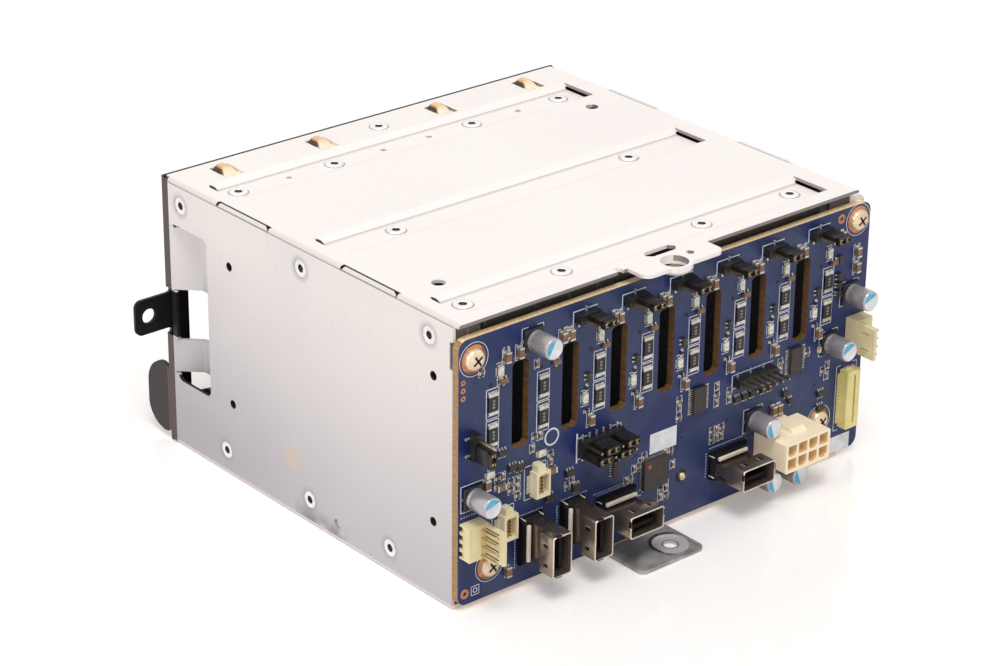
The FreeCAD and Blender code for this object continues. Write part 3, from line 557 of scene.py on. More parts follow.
def dress_cad():
    repaint(zinc("zinc_sheet"), "side_bracket_left")
    repaint(zinc("zinc_shaded", (96, 90, 88), (74, 69, 68)), "rear_cross_strip")
    repaint(cover_zinc(), "top_cover")
    repaint(side_zinc(), "side_bracket_right")
    repaint(floor_zinc(), "bottom_plate")
    repaint(frame_material(), "front_frame")
    repaint(plastic("guide_black", (34, 32, 33), (22, 20, 21), rough=0.55),
            "lower_guide_base", "upper_guide_base", "lower_guide_blades", "upper_guide_blades",
            *numbered("drive_connector", 8))
    repaint(board_material(), "backplane_board")

    base_top = BOARD_Y + 2.55 * MM
    row_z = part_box("jumper_cap_1")[0].z / 2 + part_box("jumper_cap_1")[1].z / 2
    cross = (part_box("jumper_cap_7")[0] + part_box("jumper_cap_7")[1]) / 2

    def row_feet(s):
        low_part = s.under("Z", row_z - 0.01)
        beside = outside(s, "X", cross.x, 1.28 * MM)
        above = outside(s, "Z", row_z, 1.28 * MM)
        return s.any_of(s.all_of(low_part, beside), s.all_of(s.math("SUBTRACT", 1.0, low_part), above))

    repaint(header_material("jumper_header", base_top, row_feet), "jumper_headers")
    for node, half in (("config_header", 2.56), ("service_header", 1.29)):
        low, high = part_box(node)
        middle = (low.z + high.z) / 2
        feet = (lambda s, middle=middle, half=half: outside(s, "Z", middle, half * MM))
        repaint(header_material(node, base_top, feet), node)

    core = plastic("port_moulding", (17, 15, 14), (10, 9, 9), rough=0.55)
    core.set("Specular IOR Level", 0.2)
    repaint(core, *numbered("data_port_core", 4))

    repaint(power_material(), "power_connector")
    for node, pin_x in (("fan_header_1", 2.6), ("fan_header_2", 4.2)):
        low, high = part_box(node)
        s = plastic(node, (240, 228, 186), (228, 212, 162), rough=0.45)
        pins = s.all_of(s.over("Y", BOARD_Y + 4.25 * MM),
                        s.within("X", low.x + (pin_x - 0.4) * MM, low.x + (pin_x + 0.4) * MM))
        bare_metal(s, pins, (214, 200, 160))
        repaint(s, node)
    for node in numbered("small_header", 2):
        low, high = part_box(node)
        s = plastic(node, (240, 230, 196), (226, 213, 170), rough=0.5)
        bare_metal(s, s.over("X", high.x - 1.3 * MM), (222, 222, 220))
        repaint(s, node)
    repaint(plastic("ribbon_plastic", (244, 233, 160), (234, 219, 140), rough=0.5), "ribbon_connector")


# ---- finishes shared by the small parts --------------------------------------
def shell_finish():
    """Nickel plated port shell, with a dark painted reflection on top and painted shade towards the board.
    """
    s = metal("shell_nickel", (184, 168, 152), (158, 143, 128), rough=0.2, metallic=0.8, size=0.03)
    # Painted reflection: faces that look up are darker.
    s.stain(s.math("GREATER_THAN", s.facing("Z"), 0.7), (92, 84, 78), 0.55)
    # Painted shade: darker towards the board.
    s.stain(s.ramp("Y", BOARD_Y + 0.0125, BOARD_Y + 0.004), (74, 66, 60), 0.6)
    return s


def spring_finish():
    """Copper leaf: tan on its crown, with a pale painted highlight where it runs down and painted shade on
    its near flank.
    """
    s = metal("spring_leaf", (246, 204, 150), (232, 178, 120), rough=0.3, metallic=0.5)
    # Painted highlight: pale where the leaf runs down towards the board.
    s.stain(s.ramp("Y", -0.0592, -0.0566), (255, 240, 214))
    # Painted shade on the flank that leans towards +X.
    s.stain(s.step(s.lean("X"), 0.42, 0.62), (78, 64, 54))
    return s


def small_finishes():
    """Finishes of the pieces built below, by the names that piece() takes."""
    silk = Shade("silk_print", (222, 226, 232), rough=0.6)
    silk.color(silk.blend(silk.step(silk.noise(0.0008, 2.0), 0.55, 0.75),
                          (226, 230, 236), (178, 186, 204)))
    return {
        "silk": silk,
        "pad": metal("copper_pad", (206, 142, 102), (178, 118, 82), rough=0.35, metallic=0.6),
        "red": plastic("red_mark", (206, 82, 52), (176, 66, 44), size=0.001),
        # Painted shade: near black for holes, slots, recesses and gaps.
        "hole": plastic("dark_hole", (20, 20, 26), (12, 12, 18), size=0.001),
        "white": plastic("white_ink", (240, 242, 244), (214, 218, 224), size=0.003),
        "tin": metal("tin", (226, 224, 216), (186, 182, 172), rough=0.28, metallic=0.7, size=0.001),
        "gold": metal("gilt", (232, 202, 136), (196, 158, 92), rough=0.26, metallic=0.8, size=0.001),
        "chip": plastic("epoxy", (58, 50, 46), (42, 36, 34), rough=0.5, size=0.003),
        "dark": plastic("film_black", (34, 31, 32), (22, 20, 21), rough=0.4, size=0.001),
        "tan": plastic("ceramic", (140, 108, 82), (102, 78, 60), rough=0.35, size=0.001),
        "cream": plastic("lens_cream", (246, 240, 218), (226, 214, 182), rough=0.35, size=0.001),
        "blue": plastic("blue_ink", (98, 188, 226), (70, 160, 206), size=0.002),
        "can": metal("can_wall", (204, 199, 200), (172, 167, 169), metallic=0.55, size=0.02),
        "rivet": metal("rivet_zinc", (254, 252, 250), (236, 232, 230), metallic=0.4),
        "screw": metal("screw_plate", (246, 226, 192), (222, 196, 160), metallic=0.5),
        "pin": metal("pin_plate", (232, 222, 186), (186, 170, 126), rough=0.22, metallic=0.8),
        "shell": shell_finish(),
        "latch": plastic("latch_bright", (250, 238, 222), (236, 222, 204), rough=0.3, size=0.002),
        "mark": plastic("grey_mark", (150, 150, 152), (120, 120, 122), size=0.001),
        # Painted highlight: a brighter copy of the shell's nickel, for its rolled mouth, small tabs and
        # mouth pieces.
        "rim": metal("shell_rim", (240, 230, 216), (214, 200, 184), rough=0.2, metallic=0.5, size=0.001),
        "moulding": plastic("port_black", (24, 21, 22), (12, 11, 12), rough=0.35),
        "cap": plastic("cap_black", (36, 32, 32), (22, 20, 20), rough=0.38, size=0.002),
        "leaf": spring_finish(),
    }


FINISH = small_finishes()


def on_board(x, height, z):
    """A point in millimetres, its height measured from the board's outer face."""
    return V(x, height, z) + Vector((0, BOARD_Y, 0))


class BoardBuild(Build):
    """Forms that stand on the board's outer face, all in millimetres."""

    def slab(self, x, z, height, material=0, bevel=0.0):
        return self.block(on_board(x[0], height[0], z[0]), on_board(x[1], height[1], z[1]), material,
                          bevel * MM)

    def line(self, x, z, width=0.22, top=0.04):
        """Printed stroke along X or Z from one value to the other."""
        half = width / 2
        if isinstance(x, tuple):
            self.slab(x, (z - half, z + half), (0.0, top))
        else:
            self.slab((x - half, x + half), z, (0.0, top))

    def outline(self, x, z, width=0.22, gap=0.0):
        """Printed rectangle, its sides broken in the middle by gap."""
        for at in z:
            if gap:
                self.line((x[0], (x[0] + x[1] - gap) / 2), at, width)
                self.line(((x[0] + x[1] + gap) / 2, x[1]), at, width)
            else:
                self.line(x, at, width)
        for at in x:
            self.line(at, z, width)

    def dashes(self, x, z, step=0.9, width=0.2):
        """Dashed printed stroke along X or Z."""
        span = x if isinstance(x, tuple) else z
        count = int((span[1] - span[0]) / step)
        for k in range(count):
            part = (span[0] + k * step, span[0] + (k + 0.55) * step)
            self.line(*((part, z) if isinstance(x, tuple) else (x, part)), width)

    def turned(self, x, z, profile, steps, material=0):
        """Turned form that stands on the board, its (radius, height) points in mm."""
        self.lathe(on_board(x, 0, z), OUT, profile, steps, material)

    def ring(self, x, z, inner, outer, top=0.04):
        self.turned(x, z, ((inner, 0.0), (inner, top), (outer, top), (outer, 0.0)), 28)

    def disc(self, x, z, radius, top, material=0, steps=20):
        self.turned(x, z, ((radius, 0.0), (radius, top), (0.0, top)), steps, material)

    def two_pad(self, x, z, size, tall, body, upright):
        """Chip part: a body with bright end caps along its long side, on two pads."""
        length, width = size
        cap = max(0.25, length * 0.16)
        across = (-width / 2, width / 2)

        def put(along, heights, material, bevel=0.0):
            a, b = (across, along) if upright else (along, across)
            self.slab((x + a[0], x + a[1]), (z + b[0], z + b[1]), heights, material, bevel)

        put((-length / 2 + cap, length / 2 - cap), (0.0, tall), body, 0.04)
        for side in (1, -1):
            put(pair(side, length / 2 - cap, length / 2), (0.0, tall + 0.04), 1, 0.06)
            put(pair(side, length / 2 - 0.1, length / 2 + 0.35), (0.0, 0.08), 1)

    def leaded(self, x, z, size, tall, counts, body, upright):
        """Chip with bent leads on two opposite sides; counts are the leads on each."""
        reach = 0.75
        half_x, half_z = size[0] / 2, size[1] / 2
        self.slab((x - half_x, x + half_x), (z - half_z, z + half_z), (0.1, tall), body, 0.1)
        along, edge = (half_z, half_x) if upright else (half_x, half_z)
        for side, count in zip((1, -1), counts):
            foot = pair(side, edge + reach * 0.45, edge + reach)
            arm = pair(side, edge - 0.05, edge + reach * 0.5)
            half = min(0.22, along / count * 0.5)
            for k in range(count):
                at = (k + 0.5) / count * 2 * along - along
                for out, heights in ((foot, (0, 0.16)), (arm, (0.08, tall * 0.5))):
                    lead = (at - half, at + half)
                    a, b = (out, lead) if upright else (lead, out)
                    self.slab((x + a[0], x + a[1]), (z + b[0], z + b[1]), heights, 1)


def centre_of(box):
    """Middle of a box along X and Z, in mm."""
    low, high = box
    return (low.x + high.x) / 2 / MM, (low.z + high.z) / 2 / MM


def height_of(box):
    """How far a box stands out of the board, in mm."""
    return (box[1].y - BOARD_Y) / MM


# ---- printing and bare copper on the board ------------------------------------
BAY = 17.67
BAY_STARTS = range(6)           # the six bays whose parts repeat exactly
SCREWS = ((69.2, 74.0), (-74.8, 75.5), (63.3, 10.9), (-63.0, 14.7))
# Dashed strokes round the ports: a span and a place, along X or along Z.
DASHES = (
    ((63.0, 74.0), 28.4), (54.3, (6.6, 21.8)), ((44.6, 54.2), 22.2), (39.2, (6.8, 21.6)),
    ((28.4, 39.0), 21.9), ((11.0, 26.4), 19.6), ((11.4, 25.4), 18.9),
    ((-31.5, -17.4), 19.6), (-17.3, (10.8, 19.2)),
)


def board_print():
    """White print: outlines round the parts, brackets, dashed fences and a bare panel."""
    b = BoardBuild()
    for box in islands("chip_resistors"):
        x, z = centre_of(box)
        b.outline((x - 2.15, x + 2.15), (z - 4.35, z + 4.35), 0.26)
    for box in islands("status_leds"):
        x, z = centre_of(box)
        for side in (1, -1):
            b.line(x + side * 1.35, (z - 1.3, z + 1.3), 0.2)
            b.line((x - 1.35, x + 1.35), z + side * 2.35, 0.2)
    for box in islands("chip_capacitors"):
        x, z = centre_of(box)
        b.outline((x - 1.25, x + 1.25), (z - 2.3, z + 2.3), 0.18, gap=1.0)
    for x, z in LEVEL_HEADERS:
        b.line(x + 4.4, (z - 1.8, z + 2.0), 0.3)
        b.line((x - 4.2, x + 4.5), z + 2.0, 0.3)
        b.line((x + 4.4, x + 6.2), z - 1.9, 0.2)
    b.line(32.4, (31.6, 40.6), 0.55)
    b.outline((16.2, 32.2), (32.6, 39.0), 0.25, gap=9.0)
    b.line(-26.4, (36.2, 40.2), 0.4)
    b.line((-42.8, -26.3), 40.2, 0.25)
    b.line((-31.0, -26.3), 36.0, 0.2)
    b.outline((65.7, 73.4), (29.9, 37.7), 0.25)
    for box in islands("capacitor_cans"):
        x, z = centre_of(box)
        if z > 10 and x < 65:
            b.outline((x - 3.75, x + 3.75), (z - 3.75, z + 3.75), 0.2, gap=3.0)
    for x, z in DASHES:
        b.dashes(x, z)
    for x, z in ((46.8, 31.0), (58.1, 21.6)):
        b.outline((x - 3.2, x + 4.4), (z - 4.6, z + 5.4), 0.2, gap=2.6)
    b.outline((-78.0, -69.6), (9.0, 30.0), 0.2, gap=5.0)
    for side_x in (1, -1):
        for side_z in (1, -1):
            x, z = 3.3 + side_x * 6.0, 19.6 + side_z * 5.9
            b.line(tuple(sorted((x, x - side_x * 1.6))), z, 0.2)
            b.line(x, tuple(sorted((z, z - side_z * 1.6))), 0.2)
    b.outline((66.9, 69.6), (3.6, 6.3), 0.2)
    b.ring(68.25, 4.95, 0.55, 0.8)
    b.ring(41.6, 42.7, 2.1, 2.65)
    for x, z in SCREWS:
        b.ring(x, z, 4.75, 4.95)
    for x, z in SMALL_PAIRS:
        b.outline((x - 0.95, x + 0.95), (z - 1.35, z + 1.35), 0.14, gap=0.7)
    piece("board_print", b, "silk")

    b = BoardBuild()
    b.slab((-5.2, 5.0), (25.3, 31.5), (0.0, 0.05))
    b.slab((-76.7, -67.5), (1.7, 6.9), (0.0, 0.07))
    piece("board_panels", b, "white")


def board_copper():
    """Screw lands, test marks and via holes."""
    b = BoardBuild()
    for x, z in SCREWS:
        b.ring(x, z, 1.2, 4.15, 0.05)
    for x, z in ((71.8, 4.9), (-67.9, 77.4)):
        b.ring(x, z, 0.6, 1.5, 0.05)
    for z in (68.1, 65.8, 63.5):
        b.ring(72.7, z, 0.28, 0.85)
    piece("board_lands", b, "pad")

    b = BoardBuild()
    # Painted shade: dark discs for the holes of the drive connectors' pegs and for the vias.
    for bay in range(8):
        b.disc(63.3 - bay * BAY, 64.7, 0.62, 0.03)
        b.disc(63.3 - bay * BAY, 26.9, 0.5, 0.03)
    for k in range(60):
        b.disc(RNG.uniform(-76, 71), RNG.uniform(3.5, 78), RNG.uniform(0.12, 0.2), 0.02, steps=8)
    piece("board_vias", b, "hole")


# Small two ended parts (x, z); short rows of them stand beside the connectors.
SMALL_PAIRS = (
    (63.2, 40.8), (60.8, 36.4), (58.9, 36.4), (56.0, 33.6), (53.6, 33.6), (56.0, 31.2), (53.6, 31.2),
    (53.6, 28.9), (48.6, 41.4), (42.0, 37.4), (42.0, 35.4), (35.6, 25.8), (34.0, 27.2), (7.0, 25.4),
    (-0.8, 24.4), (-3.0, 24.0), (10.8, 22.8), (9.4, 22.8), (13.6, 19.9), (12.2, 19.9), (-4.0, 19.5),
    (0.4, 13.0), (-1.8, 12.8), (-1.8, 10.4), (0.4, 10.6), (-5.8, 38.8), (-5.8, 36.6), (-5.8, 33.6),
    (-20.4, 38.8), (-20.4, 36.2), (-20.4, 33.6), (-19.2, 25.0), (-21.0, 25.0), (-19.2, 22.4),
    (-21.0, 22.4), (-22.8, 25.0), (-22.8, 22.4), (-25.4, 35.6), (-25.4, 33.2), (-45.6, 38.6),
    (-45.6, 36.2), (-56.6, 38.6), (-65.2, 28.6), (-63.6, 30.6), (-65.4, 32.0), (58.2, 72.9),
    (60.2, 65.2), (66.6, 69.4), (47.4, 66.2), (65.1, 44.6), (62.0, 44.4), (47.8, 44.6), (45.8, 44.4),
)
# Small leaded parts: x, z, size along X and Z, leads on each side, and whether those sides face X.
SMALL_LEADED = (
    (59.3, 43.6, (3.0, 1.6), (3, 3), False), (55.6, 38.0, (3.0, 1.7), (3, 2), False),
    (53.2, 37.4, (3.0, 1.7), (3, 2), False), (35.0, 29.6, (3.0, 1.8), (3, 3), False),
    (32.6, 24.4, (2.6, 2.2), (3, 3), False), (42.2, 24.6, (3.0, 1.8), (3, 3), False),
    (-28.4, 32.4, (2.2, 1.6), (3, 3), False), (-31.4, 32.4, (2.2, 1.6), (3, 3), False),
    (-34.4, 32.4, (2.2, 1.6), (3, 3), False), (-38.8, 32.3, (2.2, 1.6), (3, 3), False),
    (-41.6, 32.3, (2.2, 1.6), (3, 3), False), (-47.9, 28.2, (2.2, 2.0), (2, 1), False),
    (-50.2, 25.2, (1.8, 1.6), (2, 1), False), (-63.0, 23.6, (2.8, 1.7), (3, 3), False),
    (-62.9, 19.0, (2.8, 1.7), (3, 3), False), (-68.0, 65.0, (1.8, 2.4), (2, 1), True),
    (-68.0, 59.6, (1.8, 2.4), (2, 1), True), (-68.0, 57.0, (1.8, 1.8), (2, 1), True),
    (-68.0, 54.4, (1.8, 1.8), (2, 1), True), (18.3, 25.6, (2.3, 4.6), (6, 6), True),
)
# Brown two ended parts: x, z, and whether they stand upright.
BROWN_PARTS = (
    (60.0, 33.6, False), (42.0, 32.9, False), (57.1, 6.9, True), (64.8, 35.8, True), (-43.4, 24.2, True),
    (-45.6, 24.2, True),
)


def small_parts():
    """Resistors, lamps, capacitors and transistors soldered to the board."""
    b = BoardBuild()
    for box in islands("chip_resistors"):
        x, z = centre_of(box)
        b.two_pad(x, z, (6.4, 3.2), 0.62, 0, True)
        for k in (-1, 0, 1):
            b.slab((x - 0.4, x + 0.4), (z + k * 0.95 - 0.28, z + k * 0.95 + 0.28), (0.5, 0.64), 2)
    piece("resistors", b, "dark tin mark", ["chip_resistors"])

    b = BoardBuild()
    for box in islands("status_leds"):
        x, z = centre_of(box)
        b.two_pad(x, z, (2.9, 1.7), 0.7, 0, True)
        b.disc(x, z, 0.5, 0.78, 2)
    for x, z in ((63.6, 38.3), (45.4, 39.0), (-62.6, 38.1)):
        b.two_pad(x, z, (2.9, 1.7), 0.7, 0, False)
        b.disc(x, z, 0.5, 0.78, 2)
    piece("status_lamps", b, "cream tin silk", ["status_leds"])

    b = BoardBuild()
    for box in islands("chip_capacitors"):
        x, z = centre_of(box)
        b.two_pad(x, z, (3.1, 1.65), 1.5, 0, True)
    for k in BAY_STARTS:
        b.two_pad(20.1 - k * BAY, 72.4, (2.9, 1.3), 1.4, 0, True)
    b.two_pad(35.6 + 1.9, 72.4, (2.9, 1.3), 1.4, 0, True)
    for x, z, upright in BROWN_PARTS:
        b.two_pad(x, z, (3.1, 1.8), 1.4, 0, upright)
    piece("ceramic_capacitors", b, "tan tin", ["chip_capacitors"])

    b = BoardBuild()
    for index, (x, z) in enumerate(SMALL_PAIRS):
        b.two_pad(x, z, (1.7, 0.9), 0.45, 2, index % 2 == 0)
    for x, z, size, counts, upright in SMALL_LEADED:
        b.leaded(x, z, size, 1.0, counts, 0, upright)
    for k in BAY_STARTS:
        b.leaded(22.9 - k * BAY, 64.6, (2.6, 1.4), 0.9, (2, 1), 2, False)
        b.leaded(29.0 - k * BAY, 57.0, (1.4, 2.4), 0.9, (2, 1), 0, True)
        b.two_pad(29.4 - k * BAY, 53.7, (1.6, 0.9), 0.5, 0, True)
        b.two_pad(29.3 - k * BAY, 46.6, (1.6, 0.9), 0.5, 0, False)
    for x in (59.0, 40.6):
        b.leaded(x, 64.8, (2.6, 1.4), 0.9, (2, 1), 2, False)
    piece("small_parts", b, "chip tin tan")


def logic_chips():
    """Square controller with leads on four sides and two narrow leaded chips."""
    b = BoardBuild()
    for low, high in islands("logic_chips"):
        x, z = centre_of((low, high))
        half_x, half_z = (high.x - low.x) / 2 / MM, (high.z - low.z) / 2 / MM
        tall = height_of((low, high))
        b.slab((x - half_x, x + half_x), (z - half_z, z + half_z), (0.12, tall), 0, 0.12)
        square = half_x > 4
        count, reach = (14, 0.7) if square else (12, 1.5)
        for side in (1, -1):
            for k in range(count):
                at = (k + 0.5) / count * 2 * half_z - half_z
                out = pair(side, half_x - 0.05, half_x + reach)
                b.slab((x + out[0], x + out[1]), (z + at - 0.13, z + at + 0.13), (0.0, 0.25), 1)
                if square:
                    out = pair(side, half_z - 0.05, half_z + reach)
                    b.slab((x + at - 0.13, x + at + 0.13), (z + out[0], z + out[1]), (0.0, 0.25), 1)
        if square:
            b.disc(x + half_x - 1.9, z + half_z - 1.9, 0.75, tall + 0.03, 2)
        else:
            b.disc(x + half_x - 0.9, z - half_z + 0.9, 0.35, tall + 0.03, 3)
    piece("controller_chips", b, "chip tin red dark", ["logic_chips"])


# Printed segment on each capacitor: place of the can, then the side it lies on.
CAN_MARKS = (
    (49.0, 74.0, 0.9, 0.5), (69.6, 33.8, 0.3, 1.0), (-72.8, 53.2, 0.4, 1.0), (-65.2, 39.4, 0.5, 1.0),
    (-35.4, 23.8, 1.0, -0.3), (-36.9, 6.0, 1.0, -0.3), (-47.5, 5.1, 1.0, -0.4),
)


def cans():
    """Aluminium capacitors: rolled groove, bevelled black base and a printed top."""
    b = BoardBuild()
    for box in islands("capacitor_cans"):
        x, z = centre_of(box)
        top = height_of(box)
        b.slab((x - 3.3, x + 3.3), (z - 3.3, z + 3.3), (0.0, 1.1), 2, 0.35)
        for side in (1, -1):
            low, high = pair(side, 2.9, 4.1)
            b.slab((x + low, x + high), (z - 0.4, z + 0.4), (0.0, 0.2), 3)
        rings = ((2.6, 1.0), (3.0, 1.25), (3.08, 1.7), (2.86, 2.1), (2.86, 2.4), (3.08, 2.8),
                 (3.1, top - 0.55), (2.98, top - 0.22), (2.74, top - 0.1), (2.6, top - 0.12),
                 (0.0, top - 0.12))
        b.turned(x, z, rings, 36, [0] * 8 + [1, 1])
        lean_x, lean_z = min(CAN_MARKS, key=lambda m: abs(m[0] - x) + abs(m[1] - z))[2:]
        middle = math.atan2(lean_z, lean_x)
        corners = []
        for k in range(15):
            turn = middle + math.radians(-72 + k * 144 / 14)
            corners.append(b.mesh.verts.new(on_board(x + 2.6 * math.cos(turn), top - 0.08,
                                                     z + 2.6 * math.sin(turn))))
        face = b.mesh.faces.new(corners)
        face.material_index = 4
    piece("capacitors", b, "can white dark tin blue", ["capacitor_cans"])


# ---- fasteners ------------------------------------------------------------------
def fasteners():
    """Pan screws with a cross recess, the locating pin, and drawn rivets."""
    b = BoardBuild()
    for box in islands("board_screws"):
        x, z = centre_of(box)
        top = height_of(box)
        b.turned(x, z, ((3.2, 0.02), (3.2, 0.5), (3.05, 1.0), (2.6, 1.45), (1.9, top - 0.12),
                        (1.0, top - 0.02), (0.0, top)), 40)
        # Painted shade: two dark bars for the cross recess.
        for angle in (35, 125):
            turn = Matrix.Rotation(math.radians(angle), 3, OUT)
            made = b.block(V(-1.7, top - 0.6, -0.32), V(1.7, top + 0.03, 0.32), 1)
            bmesh.ops.rotate(b.mesh, verts=made, cent=(0, 0, 0), matrix=turn)
            bmesh.ops.translate(b.mesh, verts=made, vec=on_board(x, 0, z))
    piece("cross_screws", b, "screw hole", ["board_screws"])

    b = BoardBuild()
    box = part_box("locating_pin")
    x, z = centre_of(box)
    top = height_of(box)
    b.turned(x, z, ((1.15, (box[0].y - BOARD_Y) / MM), (1.2, 0.1), (1.2, top - 0.4), (0.95, top - 0.1),
                    (0.5, top), (0.0, top)), 28)
    piece("pin_head", b, "pin", ["locating_pin"])
    # Painted shade: a dark ring in the gap round the pin.
    b = BoardBuild()
    b.ring(x, z, 1.22, 1.95, 0.03)
    piece("pin_clearance", b, "hole")

    for name, node in (("floor_rivet_heads", "floor_rivets"), ("side_rivet_heads", "side_rivets")):
        b = Build()
        for low, high in islands(node):
            size = high - low
            axis = min(range(3), key=lambda i: size[i])
            middle = (low + high) / 2
            outward = 1.0 if middle[axis] > (0.0425 if axis == 2 else 0.0) else -1.0
            direction = Vector([outward if i == axis else 0.0 for i in range(3)])
            origin = middle.copy()
            origin[axis] = high[axis] if outward > 0 else low[axis]
            rings = ((2.7, -0.5), (2.7, -0.22), (2.5, -0.06), (1.9, 0.0), (1.35, -0.02), (1.15, -0.16),
                     (1.1, -0.9), (0.0, -0.9))
            # Painted shade on the bore's wall and floor, the last two rings.
            b.lathe(origin, direction, rings, 28, [0, 0, 0, 0, 0, 1, 1])
            b.lathe(origin, -direction, ((1.3, 0.5), (1.3, 2.0), (0.0, 2.0)), 20)
        piece(name, b, "rivet hole", [node])


# ---- connectors -----------------------------------------------------------------
def port(number):
    """Nickel shell, slim behind and wider in front, its rolled mouth bright with a painted highlight."""
    low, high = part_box("data_port_shell_%d" % number)
    turned = (high.x - low.x) > (high.z - low.z)
    if turned:
        x = (low.x + high.x) / 2 / MM
        z = high.z / MM - 3.4
    else:
        x = low.x / MM + 3.4
        z = (low.z + high.z) / 2 / MM
    b = Build()
    half = 6.3

    def at(u, height, w):
        """u across the port, w along it, as in the upright position."""
        return on_board(x + w, height, z + u) if turned else on_board(x + u, height, z + w)

    def ring(span, height, shrink, corner):
        u0, u1 = span[0] + shrink, span[1] - shrink
        w0, w1 = -half + shrink, half - shrink
        points = []
        for cu, cw, start in ((u1 - corner, w1 - corner, 0), (u0 + corner, w1 - corner, 90),
                              (u0 + corner, w0 + corner, 180), (u1 - corner, w0 + corner, 270)):
            for k in range(4):
                turn = math.radians(start + 30 * k)
                place = at(cu + corner * math.cos(turn), height, cw + corner * math.sin(turn))
                points.append(b.mesh.verts.new(place))
        return points

    slim, wide = (-3.4, 1.5), (-3.4, 3.4)
    rings = [ring(slim, 2.3, 0, 0.7), ring(slim, 7.2, 0, 0.7), ring(wide, 7.9, 0, 0.7),
             ring(wide, 13.4, 0, 0.7), ring(wide, 13.6, 0.1, 0.65), ring(wide, 13.6, 0.34, 0.5),
             ring(wide, 13.4, 0.4, 0.5), ring(wide, 8.2, 0.45, 0.5), ring(slim, 7.6, 0.45, 0.5),
             ring(slim, 5.2, 0.45, 0.5)]
    # Rings of kind 1 carry the painted highlight of the rolled mouth.
    kinds = [0, 0, 0, 1, 1, 1, 0, 0, 0]
    for kind, lower, upper in zip(kinds, rings, rings[1:]):
        for k in range(len(lower)):
            n = (k + 1) % len(lower)
            face = b.mesh.faces.new((lower[k], lower[n], upper[n], upper[k]))
            face.material_index = kind
            face.smooth = True
    b.mesh.faces.new(rings[-1]).material_index = 2

    def bar(u, height, w, material, bevel=0.0):
        first, second = at(u[0], height[0], w[0]), at(u[1], height[1], w[1])
        corner_low = Vector([min(a, c) for a, c in zip(first, second)])
        corner_high = Vector([max(a, c) for a, c in zip(first, second)])
        b.block(corner_low, corner_high, material, bevel * MM)

    # Bars of material 1 carry the painted highlight on the small tabs and mouth pieces.
    for side in (1, -1):
        w = side * 3.0
        for out in (1, -1):
            bar(pair(out, 3.3, 3.42), (9.6, 11.3), (w - 0.75, w + 0.75), 2)
            bar(pair(out, 3.3, 3.44), (9.5, 11.4), (w + 0.4, w + 0.7), 1)
        bar((0.3, 2.3), (12.9, 13.62), pair(side, half - 0.3, half + 0.02), 2)
        bar((-0.1, 0.3), (12.8, 13.66), pair(side, half - 0.35, half + 0.03), 1)
        bar((-2.4, -1.9), (3.0, 6.6), pair(side, half - 0.1, half + 0.03), 2)
    bar((2.2, 3.3), (2.3, 3.1), (-5.6, 5.6), 3, 0.15)
    for u in (3.5, -2.9):
        bar((u, u + 0.28), (0.3, 2.36), (6.9, 7.14), 3)
    piece("port_shell_%d" % number, b, "shell rim moulding latch",
          ["data_port_shell_%d" % number], smooth_angle=40)


def fan_details():
    """Pin slots of the four way headers in painted shade, pins and leads of the low headers over a painted
    shade floor, ribbon leads.
    """
    for number, outer in ((1, 1), (2, -1)):
        low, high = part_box("fan_header_%d" % number)
        z = (low.z + high.z) / 2 / MM
        wall_x = (low.x if outer > 0 else high.x) / MM
        near, far = sorted((wall_x + outer * 1.08, wall_x + outer * 1.16))
        # Painted shade: thin dark strips stand for the pin slots in the wall.
        b = BoardBuild()
        for way in range(4):
            at = z + (way - 1.5) * PIN_PITCH
            b.slab((near, far), (at - 0.16, at + 0.16), (4.3, 9.6))
        piece("fan_slots_%d" % number, b, "hole")
    for number in (1, 2):
        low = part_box("small_header_%d" % number)[0]
        x, z = low.x / MM + 2.5, low.z / MM + 3.8
        b = BoardBuild()
        for way in range(6):
            at = z + (way - 2.5) * 1.0
            b.slab((x + 2.4, x + 3.9), (at - 0.2, at + 0.2), (0.05, 0.45), 0, 0.05)
            for row in (-0.5, 0.6):
                b.slab((x + row, x + row + 0.3), (at - 0.14, at + 0.14), (0.8, 2.5), 1)
        # Painted shade: a tan floor inside the header.
        b.slab((x - 1.5, x + 1.3), (z - 2.7, z + 2.7), (0.8, 0.9), 2)
        piece("small_header_pins_%d" % number, b, "tin gold tan")
    b = BoardBuild()
    count, length = 22, 16.0
    for k in range(count):
        at = 11.6 + (k + 0.5) * length / count
        b.slab((-71.3, -69.9), (at - 0.12, at + 0.12), (0.02, 0.35))
        b.slab((-74.1, -73.9), (at - 0.1, at + 0.1), (2.4, 3.3))
    for end in (9.6, 28.7):
        b.slab((-75.9, -72.4), (end, end + 0.7), (0.05, 1.1), 0, 0.08)
    piece("ribbon_leads", b, "tin")


def header_feet():
    """Tinned feet beside the pin headers, alternating from side to side along single rows."""
    b = BoardBuild()
    rows = [(x, z, 3, 1) for x, z in LEVEL_HEADERS] + [(24.2, 35.8, 6, 2), (-34.7, 37.9, 6, 1)]
    for x, z, count, deep in rows:
        half = deep * PIN_PITCH / 2
        for column in range(count):
            at = x + (column - (count - 1) / 2) * PIN_PITCH
            sides = (1, -1) if deep == 2 else ((1,) if column % 2 else (-1,))
            for side in sides:
                low, high = pair(side, half, half + 1.5)
                b.slab((at - 0.32, at + 0.32), (z + low, z + high), (0.0, 0.4), 0, 0.08)
    x, z = 69.4, 49.0
    for row, side in ((-1, 1), (0, -1), (1, 1)):
        low, high = pair(side, 1.27, 2.8)
        at = z + row * PIN_PITCH
        b.slab((x + low, x + high), (at - 0.32, at + 0.32), (0.0, 0.4), 0, 0.08)
    piece("header_feet", b, "tin")


